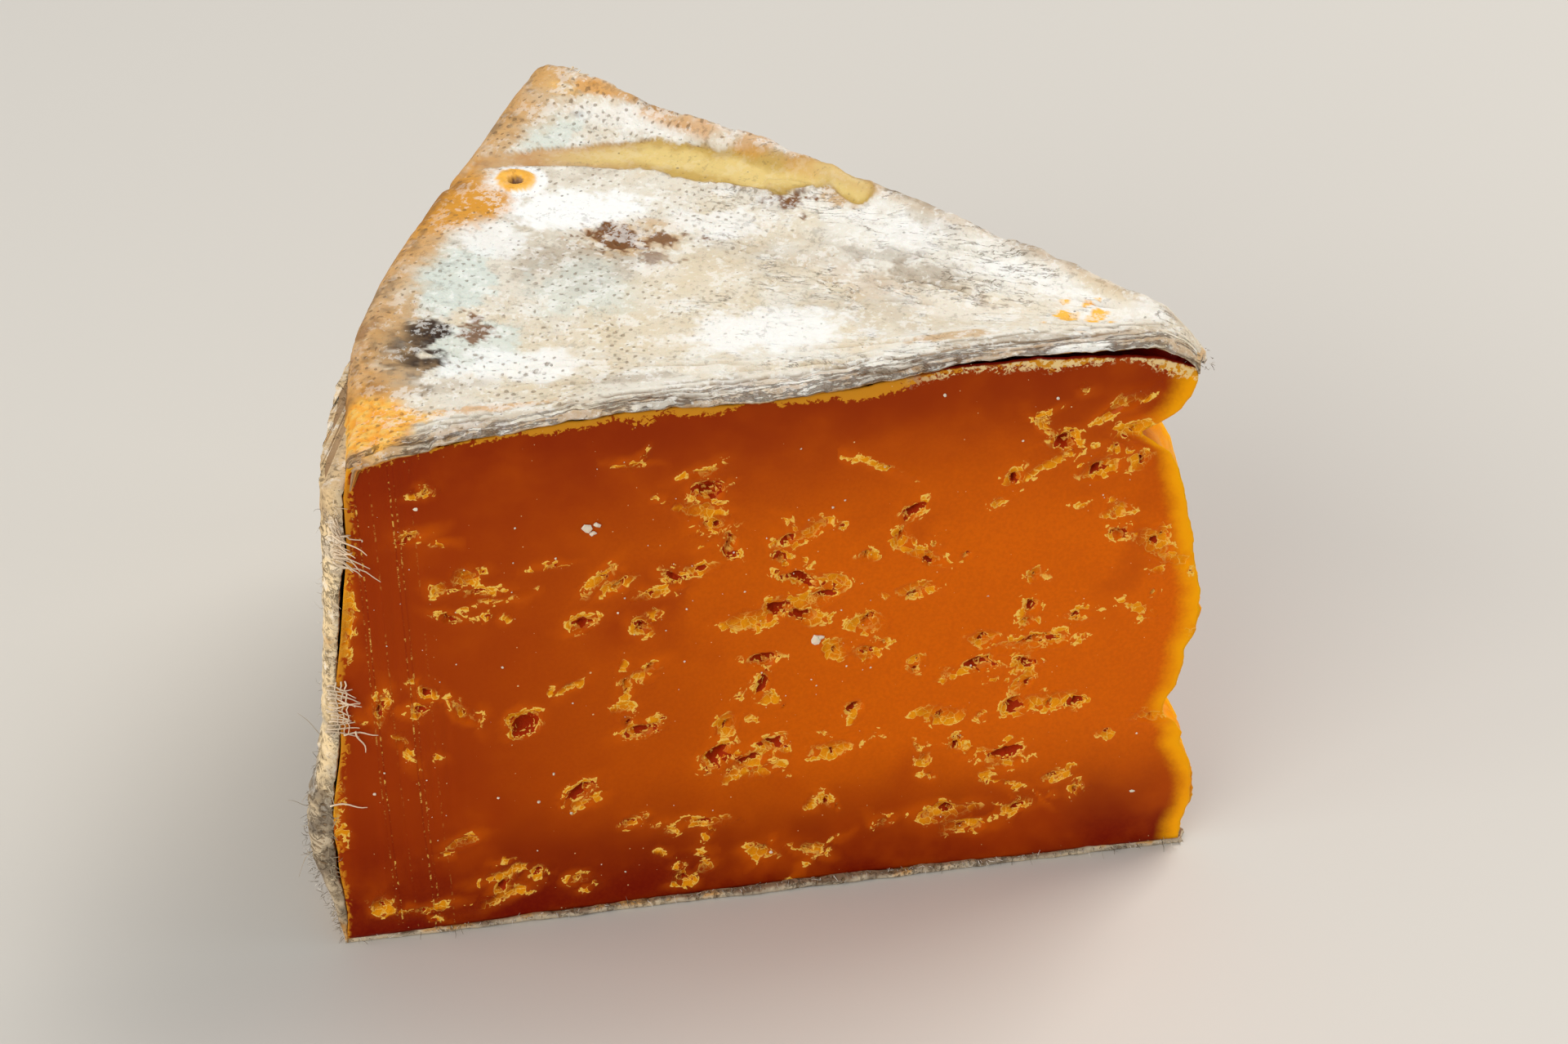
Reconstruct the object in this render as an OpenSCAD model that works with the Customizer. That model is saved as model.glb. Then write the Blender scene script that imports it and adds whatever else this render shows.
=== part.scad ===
// A wedge of clothbound cheddar, cut from a tall wheel.
// The rim of the wheel is at -X, the tip edge at +X, and one cut face looks along -Y.
// The origin is the middle of the base. All sizes are in millimetres.

/* [Wedge] */
// Length of a cut face along the base, from the wheel's rim to the tip edge
face_length = 83; // [60:1:110]
// Angle between the two cut faces
wedge_angle = 48.5; // [30:0.5:65]
// Height of the wheel where the cut faces meet the rim's shoulder
wheel_height = 55.5; // [40:1:80]
// Radius of the whole wheel
wheel_radius = 128; // [100:1:200]

/* [Top] */
// How far the crown of the top stands above the shoulder
crown_rise = 3; // [0:0.5:6]
// Place of the crown along the wedge, as a share from the tip to the rim
crown_place = 0.3; // [0.2:0.02:0.8]
// Width of the rounded shoulder between the rim and the top
shoulder_width = 6; // [4:1:20]
// Drop of the rounded shoulder
shoulder_drop = 2; // [1:0.2:6]
// How much further the top sags at the front corner of the rim
corner_sag = 1; // [0:0.2:4]
// How far the top curls up at the back corner of the rim
corner_lift = 2.4; // [0:0.2:4]
// How far from its corner each of those begins
corner_reach = 17; // [10:1:30]
// How far the top drops at the tip edge
tip_drop = 1.6; // [0:0.2:3]
// How far from the tip edge that drop begins
tip_drop_reach = 8; // [4:1:15]

/* [Rim] */
// How far the foot of the rim tucks in under the cloth
foot_tuck = 1.2; // [0:0.2:5]
// Height over which the foot tucks in
foot_height = 12; // [5:1:20]
// How far the rim leans in from its foot to its shoulder
rim_lean = 2.4; // [0:0.2:8]
// How far the slack cloth bellies out low on the rim
cloth_belly = 1.8; // [0:0.1:4]
// Height of the middle of that belly
belly_height = 13; // [8:1:30]
// How much the cloth undulates along the rim
cloth_wave = 0.35; // [0:0.05:1]
// Number of those waves along the rim
cloth_waves = 2; // [1:0.5:5]

/* [Cut faces] */
// How far a cut face hollows in its middle
face_hollow = 1.2; // [0:0.1:2]
// How far a cut face waves from the drag of the knife
knife_wave = 0.2; // [0:0.05:0.8]
// Number of those waves along a cut face
knife_waves = 1.5; // [0.5:0.5:5]
// Depth of an opening for each millimetre of its height
opening_depth = 0.75; // [0.3:0.05:1.2]
// Overall size of the openings, 1 being as cut
opening_scale = 1; // [0.5:0.05:1.5]

/* [Tip] */
// How far the tip edge is blunted back from a knife point
tip_blunt = 1.3; // [0.6:0.1:4]
// How far the tip edge leans in from its foot to its top
tip_lean = 1.4; // [0:0.2:5]
// Depth of the chips out of the tip edge, 1 being as broken
chip_scale = 1; // [0:0.1:1.5]

/* [Hidden] */

// Steps of the mesh along a cut face, around the rim, up the sides and across the top
face_steps = 18;
rim_steps = 24;
side_steps = 30;
top_rings = [1, 0.985, 0.965, 0.94, 0.91, 0.86, 0.78, 0.62, 0.42, 0.2];

half_angle = wedge_angle / 2;
// The rim is an arc of the wheel, whose axis lies this far beyond the tip
wheel_axis = sqrt(pow(wheel_radius, 2) - pow(face_length * sin(half_angle), 2))
           - face_length * cos(half_angle);
// Distance from the tip edge to the hub that the rings of the top close on
hub = face_length * 0.6;
// Reach of the crown, as a share of a cut face, and how much it is squeezed across
crown_reach = 0.8;
crown_squeeze = 0.8;
// How much the waves of the cloth and of the knife slant with height, in degrees
cloth_slant = 210;
knife_slant = 130;
// Share up a cut face at which it is most hollow, and the reach of the hollow
hollow_place = 0.4;
hollow_reach = 0.8;
// Sides of an opening's mouth and of its slit, the slit's share of the mouth, its shift,
// and the least depth of an opening
mouth_sides = 7;
slit_sides = 5;
slit_share = 0.45;
slit_shift = 0.15;
least_depth = 0.4;

// Chips out of the tip edge: height as a share of the wheel, depth, half height
CHIPS = [
    [0.95, 1.0, 2.2],
    [0.885, 5.0, 2.8],
    [0.81, 2.2, 4.4],
    [0.7, 1.2, 4.6],
    [0.56, 0.4, 2.2],
    [0.4, 1.5, 2.2],
    [0.35, 1.4, 2.0],
    [0.3, 3.2, 2.6],
    [0.24, 1.0, 1.8],
    [0, 0.7, 1.6]
];

// Openings of the front face: share along from the rim, share up, width, height, turn
FRONT_OPENINGS = [
    [0.44, 0.85, 1.9, 2.4, 20],
    [0.45, 0.72, 1.1, 3.2, 15],
    [0.52, 0.66, 5.8, 6.2, -40],
    [0.47, 0.55, 5.2, 3.4, -15],
    [0.56, 0.59, 4.0, 1.6, -20],
    [0.66, 0.72, 1.6, 3.6, -25],
    [0.68, 0.64, 4.6, 1.6, -30],
    [0.49, 0.49, 1.7, 3.8, 5],
    [0.6, 0.54, 3.2, 2.0, -10],
    [0.33, 0.68, 2.2, 1.8, 10],
    [0.29, 0.61, 2.2, 1.1, 0],
    [0.35, 0.59, 1.2, 2.2, 20],
    [0.4, 0.67, 1.6, 1.6, -30],
    [0.15, 0.7, 3.6, 1.2, -20],
    [0.13, 0.66, 2.4, 1.1, -30],
    [0.1, 0.83, 2.8, 1.2, 10],
    [0.21, 0.42, 2.3, 2.9, 0],
    [0.11, 0.52, 2.4, 1.1, -30],
    [0.18, 0.5, 1.0, 3.0, 30],
    [0.34, 0.37, 5.4, 1.8, -5],
    [0.28, 0.26, 3.2, 1.8, 20],
    [0.46, 0.32, 3.4, 3.4, 35],
    [0.5, 0.28, 6.4, 2.2, 20],
    [0.58, 0.3, 3.4, 1.5, 5],
    [0.63, 0.37, 1.4, 3.4, -15],
    [0.17, 0.2, 2.6, 1.5, -20],
    [0.18, 0.1, 5.2, 3.6, 35],
    [0.42, 0.17, 6.6, 1.4, -5],
    [0.33, 0.19, 2.2, 1.4, 0],
    [0.5, 0.08, 2.6, 2.0, 25],
    [0.4, 0.05, 2.0, 1.6, 0],
    [0.73, 0.13, 6.8, 2.8, -8],
    [0.79, 0.15, 3.6, 2.0, 20],
    [0.81, 0.48, 7.6, 2.0, 3],
    [0.77, 0.42, 3.6, 1.6, -10],
    [0.81, 0.41, 1.6, 3.2, 30],
    [0.72, 0.34, 4.6, 2.0, 0],
    [0.82, 0.33, 6.2, 2.2, 0],
    [0.79, 0.25, 2.6, 3.4, -35],
    [0.73, 0.27, 1.2, 2.0, 0],
    [0.9, 0.69, 4.6, 2.2, -50],
    [0.83, 0.87, 2.4, 1.4, -30],
    [0.86, 0.83, 3.6, 2.6, 40]
];

// Openings of the back face, strewn evenly by the golden ratio
back_count = 34;
golden = (sqrt(5) - 1) / 2;
back_margin = 0.07;
back_sizes = [1.6, 3.2, 5.0, 2.0, 6.2, 2.6];
back_shape = [0.45, 0.8, 0.35, 1.2, 0.4, 0.6, 0.9];
back_turn_step = 53;

// A smooth hump, 1 at the middle and 0 from one reach away
function hump(offset, reach) = abs(offset) >= reach ? 0 : pow(cos(90 * offset / reach), 2);

// Radius of the rim's arc at a share up the side, and at an angle off the middle line
function rim_radius(up, angle) =
    wheel_radius
    - rim_lean * up
    + foot_tuck * (1 - pow(1 - min(up * wheel_height / foot_height, 1), 2))
    + cloth_belly * hump(up * wheel_height - belly_height, belly_height)
    + cloth_wave * sin(360 * cloth_waves * angle / wedge_angle + cloth_slant * up)
      * hump(up - 0.5, 0.5);

// Distance from the tip to the rim along a ray at an angle off the middle line
function rim_reach(up, angle) =
    sqrt(pow(rim_radius(up, angle), 2) - pow(wheel_axis * sin(angle), 2))
    - wheel_axis * cos(angle);

// Distance of the broken tip edge from the sharp tip, at a share up the side
function tip_reach(up) =
    tip_blunt + tip_lean * up
    + chip_scale * max([for (chip = CHIPS)
        chip[1] * hump((up - chip[0]) * wheel_height, chip[2])]);

// Inward offset of a cut face at a share along it and a share up it
function face_inset(along, up) =
    face_hollow * hump(along - 0.5, 0.5) * hump(up - hollow_place, hollow_reach)
    + knife_wave * (1 + sin(360 * knife_waves * along + knife_slant * up)) * hump(up - 0.5, 0.5);

// A point on a ray from the tip, at a distance along the ray and an offset to its left
function ray_point(distance, angle, offset) = [
    -distance * cos(angle) + offset * sin(angle),
    distance * sin(angle) + offset * cos(angle)
];

// Plan outline at a share up the side: front face, back face, then round the rim
function outline(up) = concat(
    [for (step = [0:face_steps]) cut_point(1 - step / face_steps, up, -1)],
    [for (step = [0:face_steps]) cut_point(step / face_steps, up, 1)],
    [for (step = [1:rim_steps - 1])
        let (angle = half_angle * (1 - 2 * step / rim_steps))
        ray_point(rim_reach(up, angle), angle, 0)]
);

// A point of a cut face; side is -1 on the front face and 1 on the back face
function cut_point(outward, up, side) =
    let (near = tip_reach(up), far = rim_reach(up, side * half_angle))
    ray_point(near + (far - near) * outward, side * half_angle,
              -side * face_inset(1 - outward, up));

// Height of the top above the base at a plan point
function top_height(point) =
    let (
        from_axis = norm([point[0] - wheel_axis, point[1]]),
        edge = rim_radius(1, 0) - from_axis,
        run = min(max(edge / shoulder_width, 0), 1),
        from_crown = [point[0] + crown_place * face_length, crown_squeeze * point[1]],
        crown = norm(from_crown) / face_length,
        front_corner = norm(point - cut_point(1, 1, -1)),
        back_corner = norm(point - cut_point(1, 1, 1))
    )
    wheel_height
    - shoulder_drop * (1 - sqrt(1 - pow(1 - run, 2)))
    - corner_sag * hump(front_corner, corner_reach)
    + corner_lift * hump(back_corner, corner_reach)
    - tip_drop * hump(norm(point), tip_drop_reach)
    + crown_rise * hump(crown, crown_reach);

// One ring of the side at a share up, from the outline at that share
function side_ring(up, heights) =
    let (plan = outline(up))
    [for (i = [0:len(plan) - 1]) [plan[i][0], plan[i][1], heights[i] * up]];

// One ring of the top, drawn in to the hub by a share
function top_ring(share, plan) = [
    for (point = plan)
        let (inner = [-hub + (point[0] + hub) * share, point[1] * share])
        [inner[0], inner[1], top_height(inner)]
];

top_plan = outline(1);
side_heights = [for (point = top_plan) top_height(point)];
ring_size = len(top_plan);
ring_count = side_steps + len(top_rings);
hub_index = ring_size * ring_count;

raw_points = concat(
    [for (level = [0:side_steps]) each side_ring(level / side_steps, side_heights)],
    [for (i = [1:len(top_rings) - 1]) each top_ring(top_rings[i], top_plan)],
    [[-hub, 0, top_height([-hub, 0])]]
);

// The middle of the body's box in plan, which becomes the origin
middle = [for (axis = [0, 1])
    let (values = [for (point = raw_points) point[axis]])
    (min(values) + max(values)) / 2];

body_points = [for (point = raw_points) [point[0] - middle[0], point[1] - middle[1], point[2]]];

body_faces = concat(
    [[for (i = [0:ring_size - 1]) i]],
    [for (level = [0:ring_count - 2], i = [0:ring_size - 1])
        let (next = (i + 1) % ring_size, low = level * ring_size, high = low + ring_size)
        each [[low + i, high + i, high + next], [low + i, high + next, low + next]]],
    [for (i = [0:ring_size - 1])
        let (next = (i + 1) % ring_size, last = hub_index - ring_size)
        [last + i, hub_index, last + next]]
);

// A ragged pocket sunk into a cut face: a wide torn mouth that narrows to a deep slit
module opening(along, up, width, height, turn, side) {
    mouth = opening_scale * width / 2;
    tall = opening_scale * height / 2;
    depth = opening_depth * min(width, height) * opening_scale + least_depth;
    spot = cut_point(1 - along, up, side);
    translate([spot[0] - middle[0], spot[1] - middle[1], up * wheel_height])
    rotate([90, 0, -side * half_angle + (side > 0 ? 180 : 0)])
    rotate([0, 0, side * turn])
    hull() {
        translate([0, 0, -depth / 2])
            scale([mouth, tall, 1]) cylinder(h = depth, r = 1, $fn = mouth_sides);
        translate([mouth * slit_shift, 0, -depth])
            scale([mouth, tall, 1]) cylinder(h = depth, r = slit_share, $fn = slit_sides);
    }
}

module wedge() {
    color([0.8, 0.4, 0.06])
    difference() {
        polyhedron(body_points, body_faces, convexity = 6);
        for (spot = FRONT_OPENINGS)
            opening(spot[0], spot[1], spot[2], spot[3], spot[4], -1);
        for (i = [0:back_count - 1]) {
            along = back_margin + (1 - 2 * back_margin) * ((i + 0.5) / back_count);
            up = back_margin + (1 - 2 * back_margin) * ((i * golden) % 1);
            width = back_sizes[i % len(back_sizes)];
            opening(along, up, width, width * back_shape[i % len(back_shape)],
                    i * back_turn_step, 1);
        }
    }
}

wedge();
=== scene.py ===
import math
import bpy
import numpy as np
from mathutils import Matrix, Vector


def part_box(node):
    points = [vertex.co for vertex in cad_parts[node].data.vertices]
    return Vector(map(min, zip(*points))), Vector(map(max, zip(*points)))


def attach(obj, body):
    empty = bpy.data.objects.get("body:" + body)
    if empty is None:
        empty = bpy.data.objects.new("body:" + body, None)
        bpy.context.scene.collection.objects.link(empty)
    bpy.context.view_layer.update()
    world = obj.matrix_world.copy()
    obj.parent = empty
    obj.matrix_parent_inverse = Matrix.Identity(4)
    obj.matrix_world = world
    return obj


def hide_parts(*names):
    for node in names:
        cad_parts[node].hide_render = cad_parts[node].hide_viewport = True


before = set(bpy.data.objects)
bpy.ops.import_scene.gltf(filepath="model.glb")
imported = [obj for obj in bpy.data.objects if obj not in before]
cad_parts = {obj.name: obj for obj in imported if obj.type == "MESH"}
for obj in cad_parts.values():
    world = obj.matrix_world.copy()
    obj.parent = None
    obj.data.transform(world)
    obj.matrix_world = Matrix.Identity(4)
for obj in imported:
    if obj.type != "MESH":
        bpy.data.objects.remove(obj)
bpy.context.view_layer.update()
print("frame loaded")

mm = 0.001
boxLow = np.array(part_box("wedge")[0]) / mm
boxHigh = np.array(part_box("wedge")[1]) / mm

# The wedge as the wheel was cut, in millimetres and degrees, the same values as the CAD part
cut = {
    "faceLength": 83.0,
    "wedgeAngle": 48.5,
    "wheelHeight": 55.5,
    "wheelRadius": 128.0,
    "crownRise": 3.0,
    "crownPlace": 0.3,
    "crownReach": 0.8,
    "crownSqueeze": 0.8,
    "shoulderWidth": 6.0,
    "shoulderDrop": 2.0,
    "cornerSag": 1.0,
    "cornerLift": 2.4,
    "cornerReach": 17.0,
    "tipDrop": 1.6,
    "tipDropReach": 8.0,
    "footTuck": 1.2,
    "footHeight": 12.0,
    "rimLean": 2.4,
    "clothBelly": 1.8,
    "bellyHeight": 13.0,
    "clothWave": 0.35,
    "clothWaves": 2,
    "faceHollow": 1.2,
    "hollowPlace": 0.4,
    "hollowReach": 0.8,
    "tipBlunt": 1.3,
    "tipLean": 1.4,
}
halfAngle = math.radians(cut["wedgeAngle"] / 2)
wheelAxis = (math.sqrt(cut["wheelRadius"] ** 2 - (cut["faceLength"] * math.sin(halfAngle)) ** 2)
             - cut["faceLength"] * math.cos(halfAngle))

# Chips out of the tip edge: share up, depth, half height
tipChips = [
    (0.95, 1.0, 2.2), (0.885, 5.0, 2.8), (0.81, 2.2, 4.4), (0.7, 1.2, 4.6), (0.56, 0.4, 2.2),
    (0.4, 1.5, 2.2), (0.35, 1.4, 2.0), (0.3, 3.2, 2.6), (0.24, 1.0, 1.8), (0.0, 0.7, 1.6),
]


def hump(offset, reach):
    # cosine squared: 1 in the middle, 0 from one reach away
    share = np.clip(np.abs(offset) / reach, 0.0, 1.0)
    return np.cos(math.pi / 2 * share) ** 2


def ease(value, low, high):
    # smooth step: 0 below low, 1 above high, 3t^2 - 2t^3 between
    t = np.clip((value - low) / (high - low), 0.0, 1.0)
    return t * t * (3.0 - 2.0 * t)


def hashed(ix, iy, iz, seed):
    # a repeatable random number from 0 to 1 for every whole-number lattice point
    h = (ix * 374761393 + iy * 668265263 + iz * 1103515245 + seed * 144269504) & 0xFFFFFFFF
    h = ((h ^ (h >> 13)) * 1274126177) & 0xFFFFFFFF
    h = ((h ^ (h >> 16)) * 69069) & 0xFFFFFFFF
    return ((h ^ (h >> 15)) & 0xFFFFFF) / 16777215.0


def softNoise(x, y, z, seed):
    # value noise from -1 to 1: lattice numbers blended with the smooth step
    x, y, z = np.broadcast_arrays(x, y, z)
    cell = [np.floor(a).astype(np.int64) for a in (x, y, z)]
    part = [a - c for a, c in zip((x, y, z), cell)]
    blend = [p * p * (3.0 - 2.0 * p) for p in part]
    total = np.zeros(x.shape)
    for dx in (0, 1):
        for dy in (0, 1):
            for dz in (0, 1):
                weight = ((blend[0] if dx else 1 - blend[0])
                          * (blend[1] if dy else 1 - blend[1])
                          * (blend[2] if dz else 1 - blend[2]))
                total += weight * hashed(cell[0] + dx, cell[1] + dy, cell[2] + dz, seed)
    return 2.0 * total - 1.0


def layered(x, y, z, size, seed, layers=4, fade=0.5):
    # a sum of soft noises, each half the size and fade times the strength of the last
    total, strength, whole = 0.0, 1.0, 0.0
    for layer in range(layers):
        total = total + strength * softNoise(x / size, y / size, z / size, seed + 17 * layer)
        whole += strength
        strength *= fade
        size *= 0.5
    return total / whole


def cells(x, y, size, seed):
    # cellular pattern: distance to the nearest seed, and that seed's own random number
    x, y = x / size, y / size
    cx, cy = np.floor(x).astype(np.int64), np.floor(y).astype(np.int64)
    nearest = np.full(x.shape, 9.0)
    number = np.zeros(x.shape)
    for dx in (-1, 0, 1):
        for dy in (-1, 0, 1):
            px = cx + dx + hashed(cx + dx, cy + dy, 0, seed)
            py = cy + dy + hashed(cx + dx, cy + dy, 1, seed)
            gap = np.hypot(x - px, y - py)
            own = hashed(cx + dx, cy + dy, 2, seed)
            number = np.where(gap < nearest, own, number)
            nearest = np.minimum(nearest, gap)
    return nearest, number


def rimRadius(up, angle):
    # the wheel's radius, leaning in with height, tucked in at the foot, bellied low down
    c = cut
    tuck = 1 - (1 - np.minimum(up * c["wheelHeight"] / c["footHeight"], 1.0)) ** 2
    belly = hump(up * c["wheelHeight"] - c["bellyHeight"], c["bellyHeight"])
    wave = np.sin(2 * math.pi * c["clothWaves"] * angle / (2 * halfAngle) + math.radians(210) * up)
    return (c["wheelRadius"] - c["rimLean"] * up + c["footTuck"] * tuck
            + c["clothBelly"] * belly + c["clothWave"] * wave * hump(up - 0.5, 0.5))


def rimReach(up, angle):
    # distance from the tip to the rim along a ray at this angle off the middle line
    across = wheelAxis * np.sin(angle)
    return np.sqrt(rimRadius(up, angle) ** 2 - across ** 2) - wheelAxis * np.cos(angle)


def tipReach(up):
    # distance of the broken tip edge from the sharp tip
    chips = np.zeros(np.shape(up))
    for place, depth, reach in tipChips:
        chips = np.maximum(chips, depth * hump((up - place) * cut["wheelHeight"], reach))
    return cut["tipBlunt"] + cut["tipLean"] * up + chips


def rayPoint(distance, angle, offset=0.0):
    # plan point on a ray from the tip, pushed sideways by an offset
    x = -distance * np.cos(angle) + offset * np.sin(angle)
    y = distance * np.sin(angle) + offset * np.cos(angle)
    return x, y


def faceHollow(along, up):
    # a cut face is dished: deepest in its middle, a little below half way up
    return (cut["faceHollow"] * hump(along - 0.5, 0.5)
            * hump(up - cut["hollowPlace"], cut["hollowReach"]))


def topHeight(x, y):
    # the top: a crown near the tip, a rounded shoulder, a sagging and a lifted corner
    c = cut
    edge = rimRadius(1.0, 0.0) - np.hypot(x - wheelAxis, y)
    run = np.clip(edge / c["shoulderWidth"], 0.0, 1.0)
    crown = np.hypot(x + c["crownPlace"] * c["faceLength"], c["crownSqueeze"] * y) / c["faceLength"]
    far = rimReach(1.0, halfAngle)
    front = np.hypot(*np.subtract((x, y), np.reshape(rayPoint(far, -halfAngle), (2,) + (1,) * np.ndim(x))))
    back = np.hypot(*np.subtract((x, y), np.reshape(rayPoint(far, halfAngle), (2,) + (1,) * np.ndim(x))))
    return (c["wheelHeight"]
            - c["shoulderDrop"] * (1 - np.sqrt(1 - (1 - run) ** 2))
            - c["cornerSag"] * hump(front, c["cornerReach"])
            + c["cornerLift"] * hump(back, c["cornerReach"])
            - c["tipDrop"] * hump(np.hypot(x, y), c["tipDropReach"])
            + c["crownRise"] * hump(crown, c["crownReach"]))


# The sharp tip's place in the frame, from the CAD box
levels = np.linspace(0.0, 1.0, 200)
tipX = boxHigh[0] + float(tipReach(levels).min()) * math.cos(halfAngle)
tipY = (boxLow[1] + boxHigh[1]) / 2


def perimeter(columns):
    # once round the wedge: front face from rim to tip, tip edge, back face, rim side; for every
    # column its share of the way out, its angle off the middle line, and which face it is on
    front = np.linspace(1, 0, columns["frontColumns"] + 1)
    tip = np.linspace(-1, 1, columns["tipColumns"] + 2)[1:-1]
    back = np.linspace(0, 1, columns["backColumns"] + 1)
    rim = np.linspace(1, -1, columns["rimColumns"] + 2)[1:-1]
    outward = np.concatenate([front, 0 * tip, back, 1 + 0 * rim])
    angle = halfAngle * np.concatenate([-1 + 0 * front, tip, 1 + 0 * back, rim])
    side = np.concatenate([-1 + 0 * front, 0 * tip, 1 + 0 * back, 0 * rim])
    return outward, angle, side


def gridMesh(name, grid, marks=None, colours=None):
    # rows of points that close across each row; the two end rows close on a middle point
    rows, cols = grid.shape[:2]
    points = grid.reshape(-1, 3)
    index = np.arange(rows * cols).reshape(rows, cols)
    nextCol = np.roll(index, -1, axis=1)
    quads = np.stack([index[:-1], nextCol[:-1], nextCol[1:], index[1:]], axis=-1).reshape(-1, 4)
    ends = np.stack([grid[0].mean(axis=0), grid[-1].mean(axis=0)])
    first, last = len(points), len(points) + 1
    points = np.concatenate([points, ends])
    low = np.stack([nextCol[0], index[0], np.full(cols, first)], axis=-1)
    high = np.stack([index[-1], nextCol[-1], np.full(cols, last)], axis=-1)
    triangles = np.concatenate([low, high])
    return buildMesh(name, points, quads, triangles, spread(marks), spread(colours))


def spread(layers):
    # flattens every layer over the grid, and gives the two cap points the mean of their rows
    flat = {}
    for key, layer in (layers or {}).items():
        layer = np.asarray(layer, dtype=float)
        ends = np.stack([layer[0].mean(axis=0), layer[-1].mean(axis=0)])
        flat[key] = np.concatenate([layer.reshape((-1,) + layer.shape[2:]), ends])
    return flat


def signedVolume(points, quads, triangles):
    # sum of the tetrahedra from the origin to every triangle: positive if faces point outwards
    parts = [triangles, quads[:, [0, 1, 2]], quads[:, [0, 2, 3]]]
    total = 0.0
    for part in parts:
        a, b, c = (points[part[:, k]] for k in range(3))
        total += float(np.einsum("ij,ij->i", a, np.cross(b, c)).sum())
    return total


def buildMesh(name, points, quads, triangles, marks=None, colours=None, smooth=True):
    # puts whole arrays into a mesh, turned so that its faces point outwards
    if signedVolume(points, quads, triangles) < 0:
        quads, triangles = quads[:, ::-1], triangles[:, ::-1]
    mesh = bpy.data.meshes.new(name)
    mesh.vertices.add(len(points))
    mesh.vertices.foreach_set("co", (points * mm).astype(np.float32).ravel())
    corners = np.concatenate([quads.ravel(), triangles.ravel()]).astype(np.int32)
    sizes = np.concatenate([np.full(len(quads), 4), np.full(len(triangles), 3)]).astype(np.int32)
    starts = np.concatenate([[0], np.cumsum(sizes)[:-1]]).astype(np.int32)
    mesh.loops.add(len(corners))
    mesh.loops.foreach_set("vertex_index", corners)
    mesh.polygons.add(len(sizes))
    mesh.polygons.foreach_set("loop_start", starts)
    mesh.polygons.foreach_set("loop_total", sizes)
    mesh.polygons.foreach_set("use_smooth", np.full(len(sizes), smooth))
    for key, values in (marks or {}).items():
        if values.ndim == 1:
            layer = mesh.attributes.new(key, "FLOAT", "POINT")
            layer.data.foreach_set("value", values.astype(np.float32))
        else:
            layer = mesh.attributes.new(key, "FLOAT_VECTOR", "POINT")
            layer.data.foreach_set("vector", values.astype(np.float32).ravel())
    for key, values in (colours or {}).items():
        layer = mesh.attributes.new(key, "FLOAT_COLOR", "POINT")
        opaque = np.concatenate([values, np.ones((len(values), 1))], axis=1)
        layer.data.foreach_set("color", opaque.astype(np.float32).ravel())
    mesh.update(calc_edges=True)
    mesh.validate()
    piece = bpy.data.objects.new(name, mesh)
    bpy.context.scene.collection.objects.link(piece)
    return piece


def toFrame(x, y, z):
    # plan coordinates from the sharp tip, moved to the part's own frame
    x, y, z = np.broadcast_arrays(x, y, z)
    return np.stack([x + tipX, y + tipY, z], axis=-1)


def mixTint(under, over, mask):
    return under + (np.asarray(over) - under) * mask[..., None]


def linear(red, green, blue):
    # a colour given as it looks on a screen, 0 to 255, turned to the linear values shaders use
    shown = np.array([red, green, blue]) / 255.0
    return np.where(shown <= 0.04045, shown / 12.92, ((shown + 0.055) / 1.055) ** 2.4)


class Wire:
    # wraps a socket, so that shader maths reads as plain expressions
    def __init__(self, tree, socket=None):
        self.tree = tree
        self.socket = socket

    def make(self, kind, settings, sockets, out=0):
        node = self.tree.nodes.new(kind)
        for key, value in settings.items():
            setattr(node, key, value)
        for key, value in sockets.items():
            if isinstance(value, Wire):
                self.tree.links.new(value.socket, node.inputs[key])
            else:
                node.inputs[key].default_value = value
        return Wire(self.tree, node.outputs[out])

    def maths(self, operation, first, second=0.0):
        return self.make("ShaderNodeMath", {"operation": operation}, {0: first, 1: second})

    def __add__(self, other):
        return self.maths("ADD", self, other)

    def __radd__(self, other):
        return self.maths("ADD", other, self)

    def __sub__(self, other):
        return self.maths("SUBTRACT", self, other)

    def __rsub__(self, other):
        return self.maths("SUBTRACT", other, self)

    def __mul__(self, other):
        return self.maths("MULTIPLY", self, other)

    def __rmul__(self, other):
        return self.maths("MULTIPLY", other, self)

    def ridge(self, middle, wide, thin):
        # 1 where this value is next to the middle, 0 from so far away
        return self.maths("ABSOLUTE", self - middle).between(wide, thin)

    def between(self, low, high):
        # smooth step of this value, 0 below low and 1 above high
        return self.make("ShaderNodeMapRange", {"interpolation_type": "SMOOTHSTEP"},
                         {"Value": self, "From Min": low, "From Max": high})

    def tint(self, under, over):
        # this value as the factor of a colour mix
        return self.make("ShaderNodeMix", {"data_type": "RGBA"}, {0: self, 6: under, 7: over}, 2)


def shader(name):
    material = bpy.data.materials.new(name)
    material.use_nodes = True
    tree = material.node_tree
    surface = tree.nodes["Principled BSDF"]
    return material, Wire(tree), surface


def join(wire, surface, **links):
    # links wires to the surface's sockets, and sets plain values on the sockets themselves
    for key, value in links.items():
        socket = surface.inputs[key.replace("_", " ")]
        if isinstance(value, Wire):
            wire.tree.links.new(value.socket, socket)
        else:
            socket.default_value = value


def mark(wire, key, out="Fac"):
    outs = {"Color": 0, "Vector": 1, "Fac": 2}
    return wire.make("ShaderNodeAttribute", {"attribute_name": key}, {}, outs[out])


def place(wire):
    return wire.make("ShaderNodeTexCoord", {}, {}, 3)


def grain(wire, where, size, detail=2.0, rough=0.5):
    # soft noise from 0 to 1 with features of about this many millimetres
    return wire.make("ShaderNodeTexNoise", {"noise_dimensions": "3D"},
                     {"Vector": where, "Scale": 1 / (size * mm), "Detail": detail, "Roughness": rough})


def specks(wire, where, size, feature="F1", out=0):
    return wire.make("ShaderNodeTexVoronoi", {"feature": feature},
                     {"Vector": where, "Scale": 1 / (size * mm)}, out)


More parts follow.
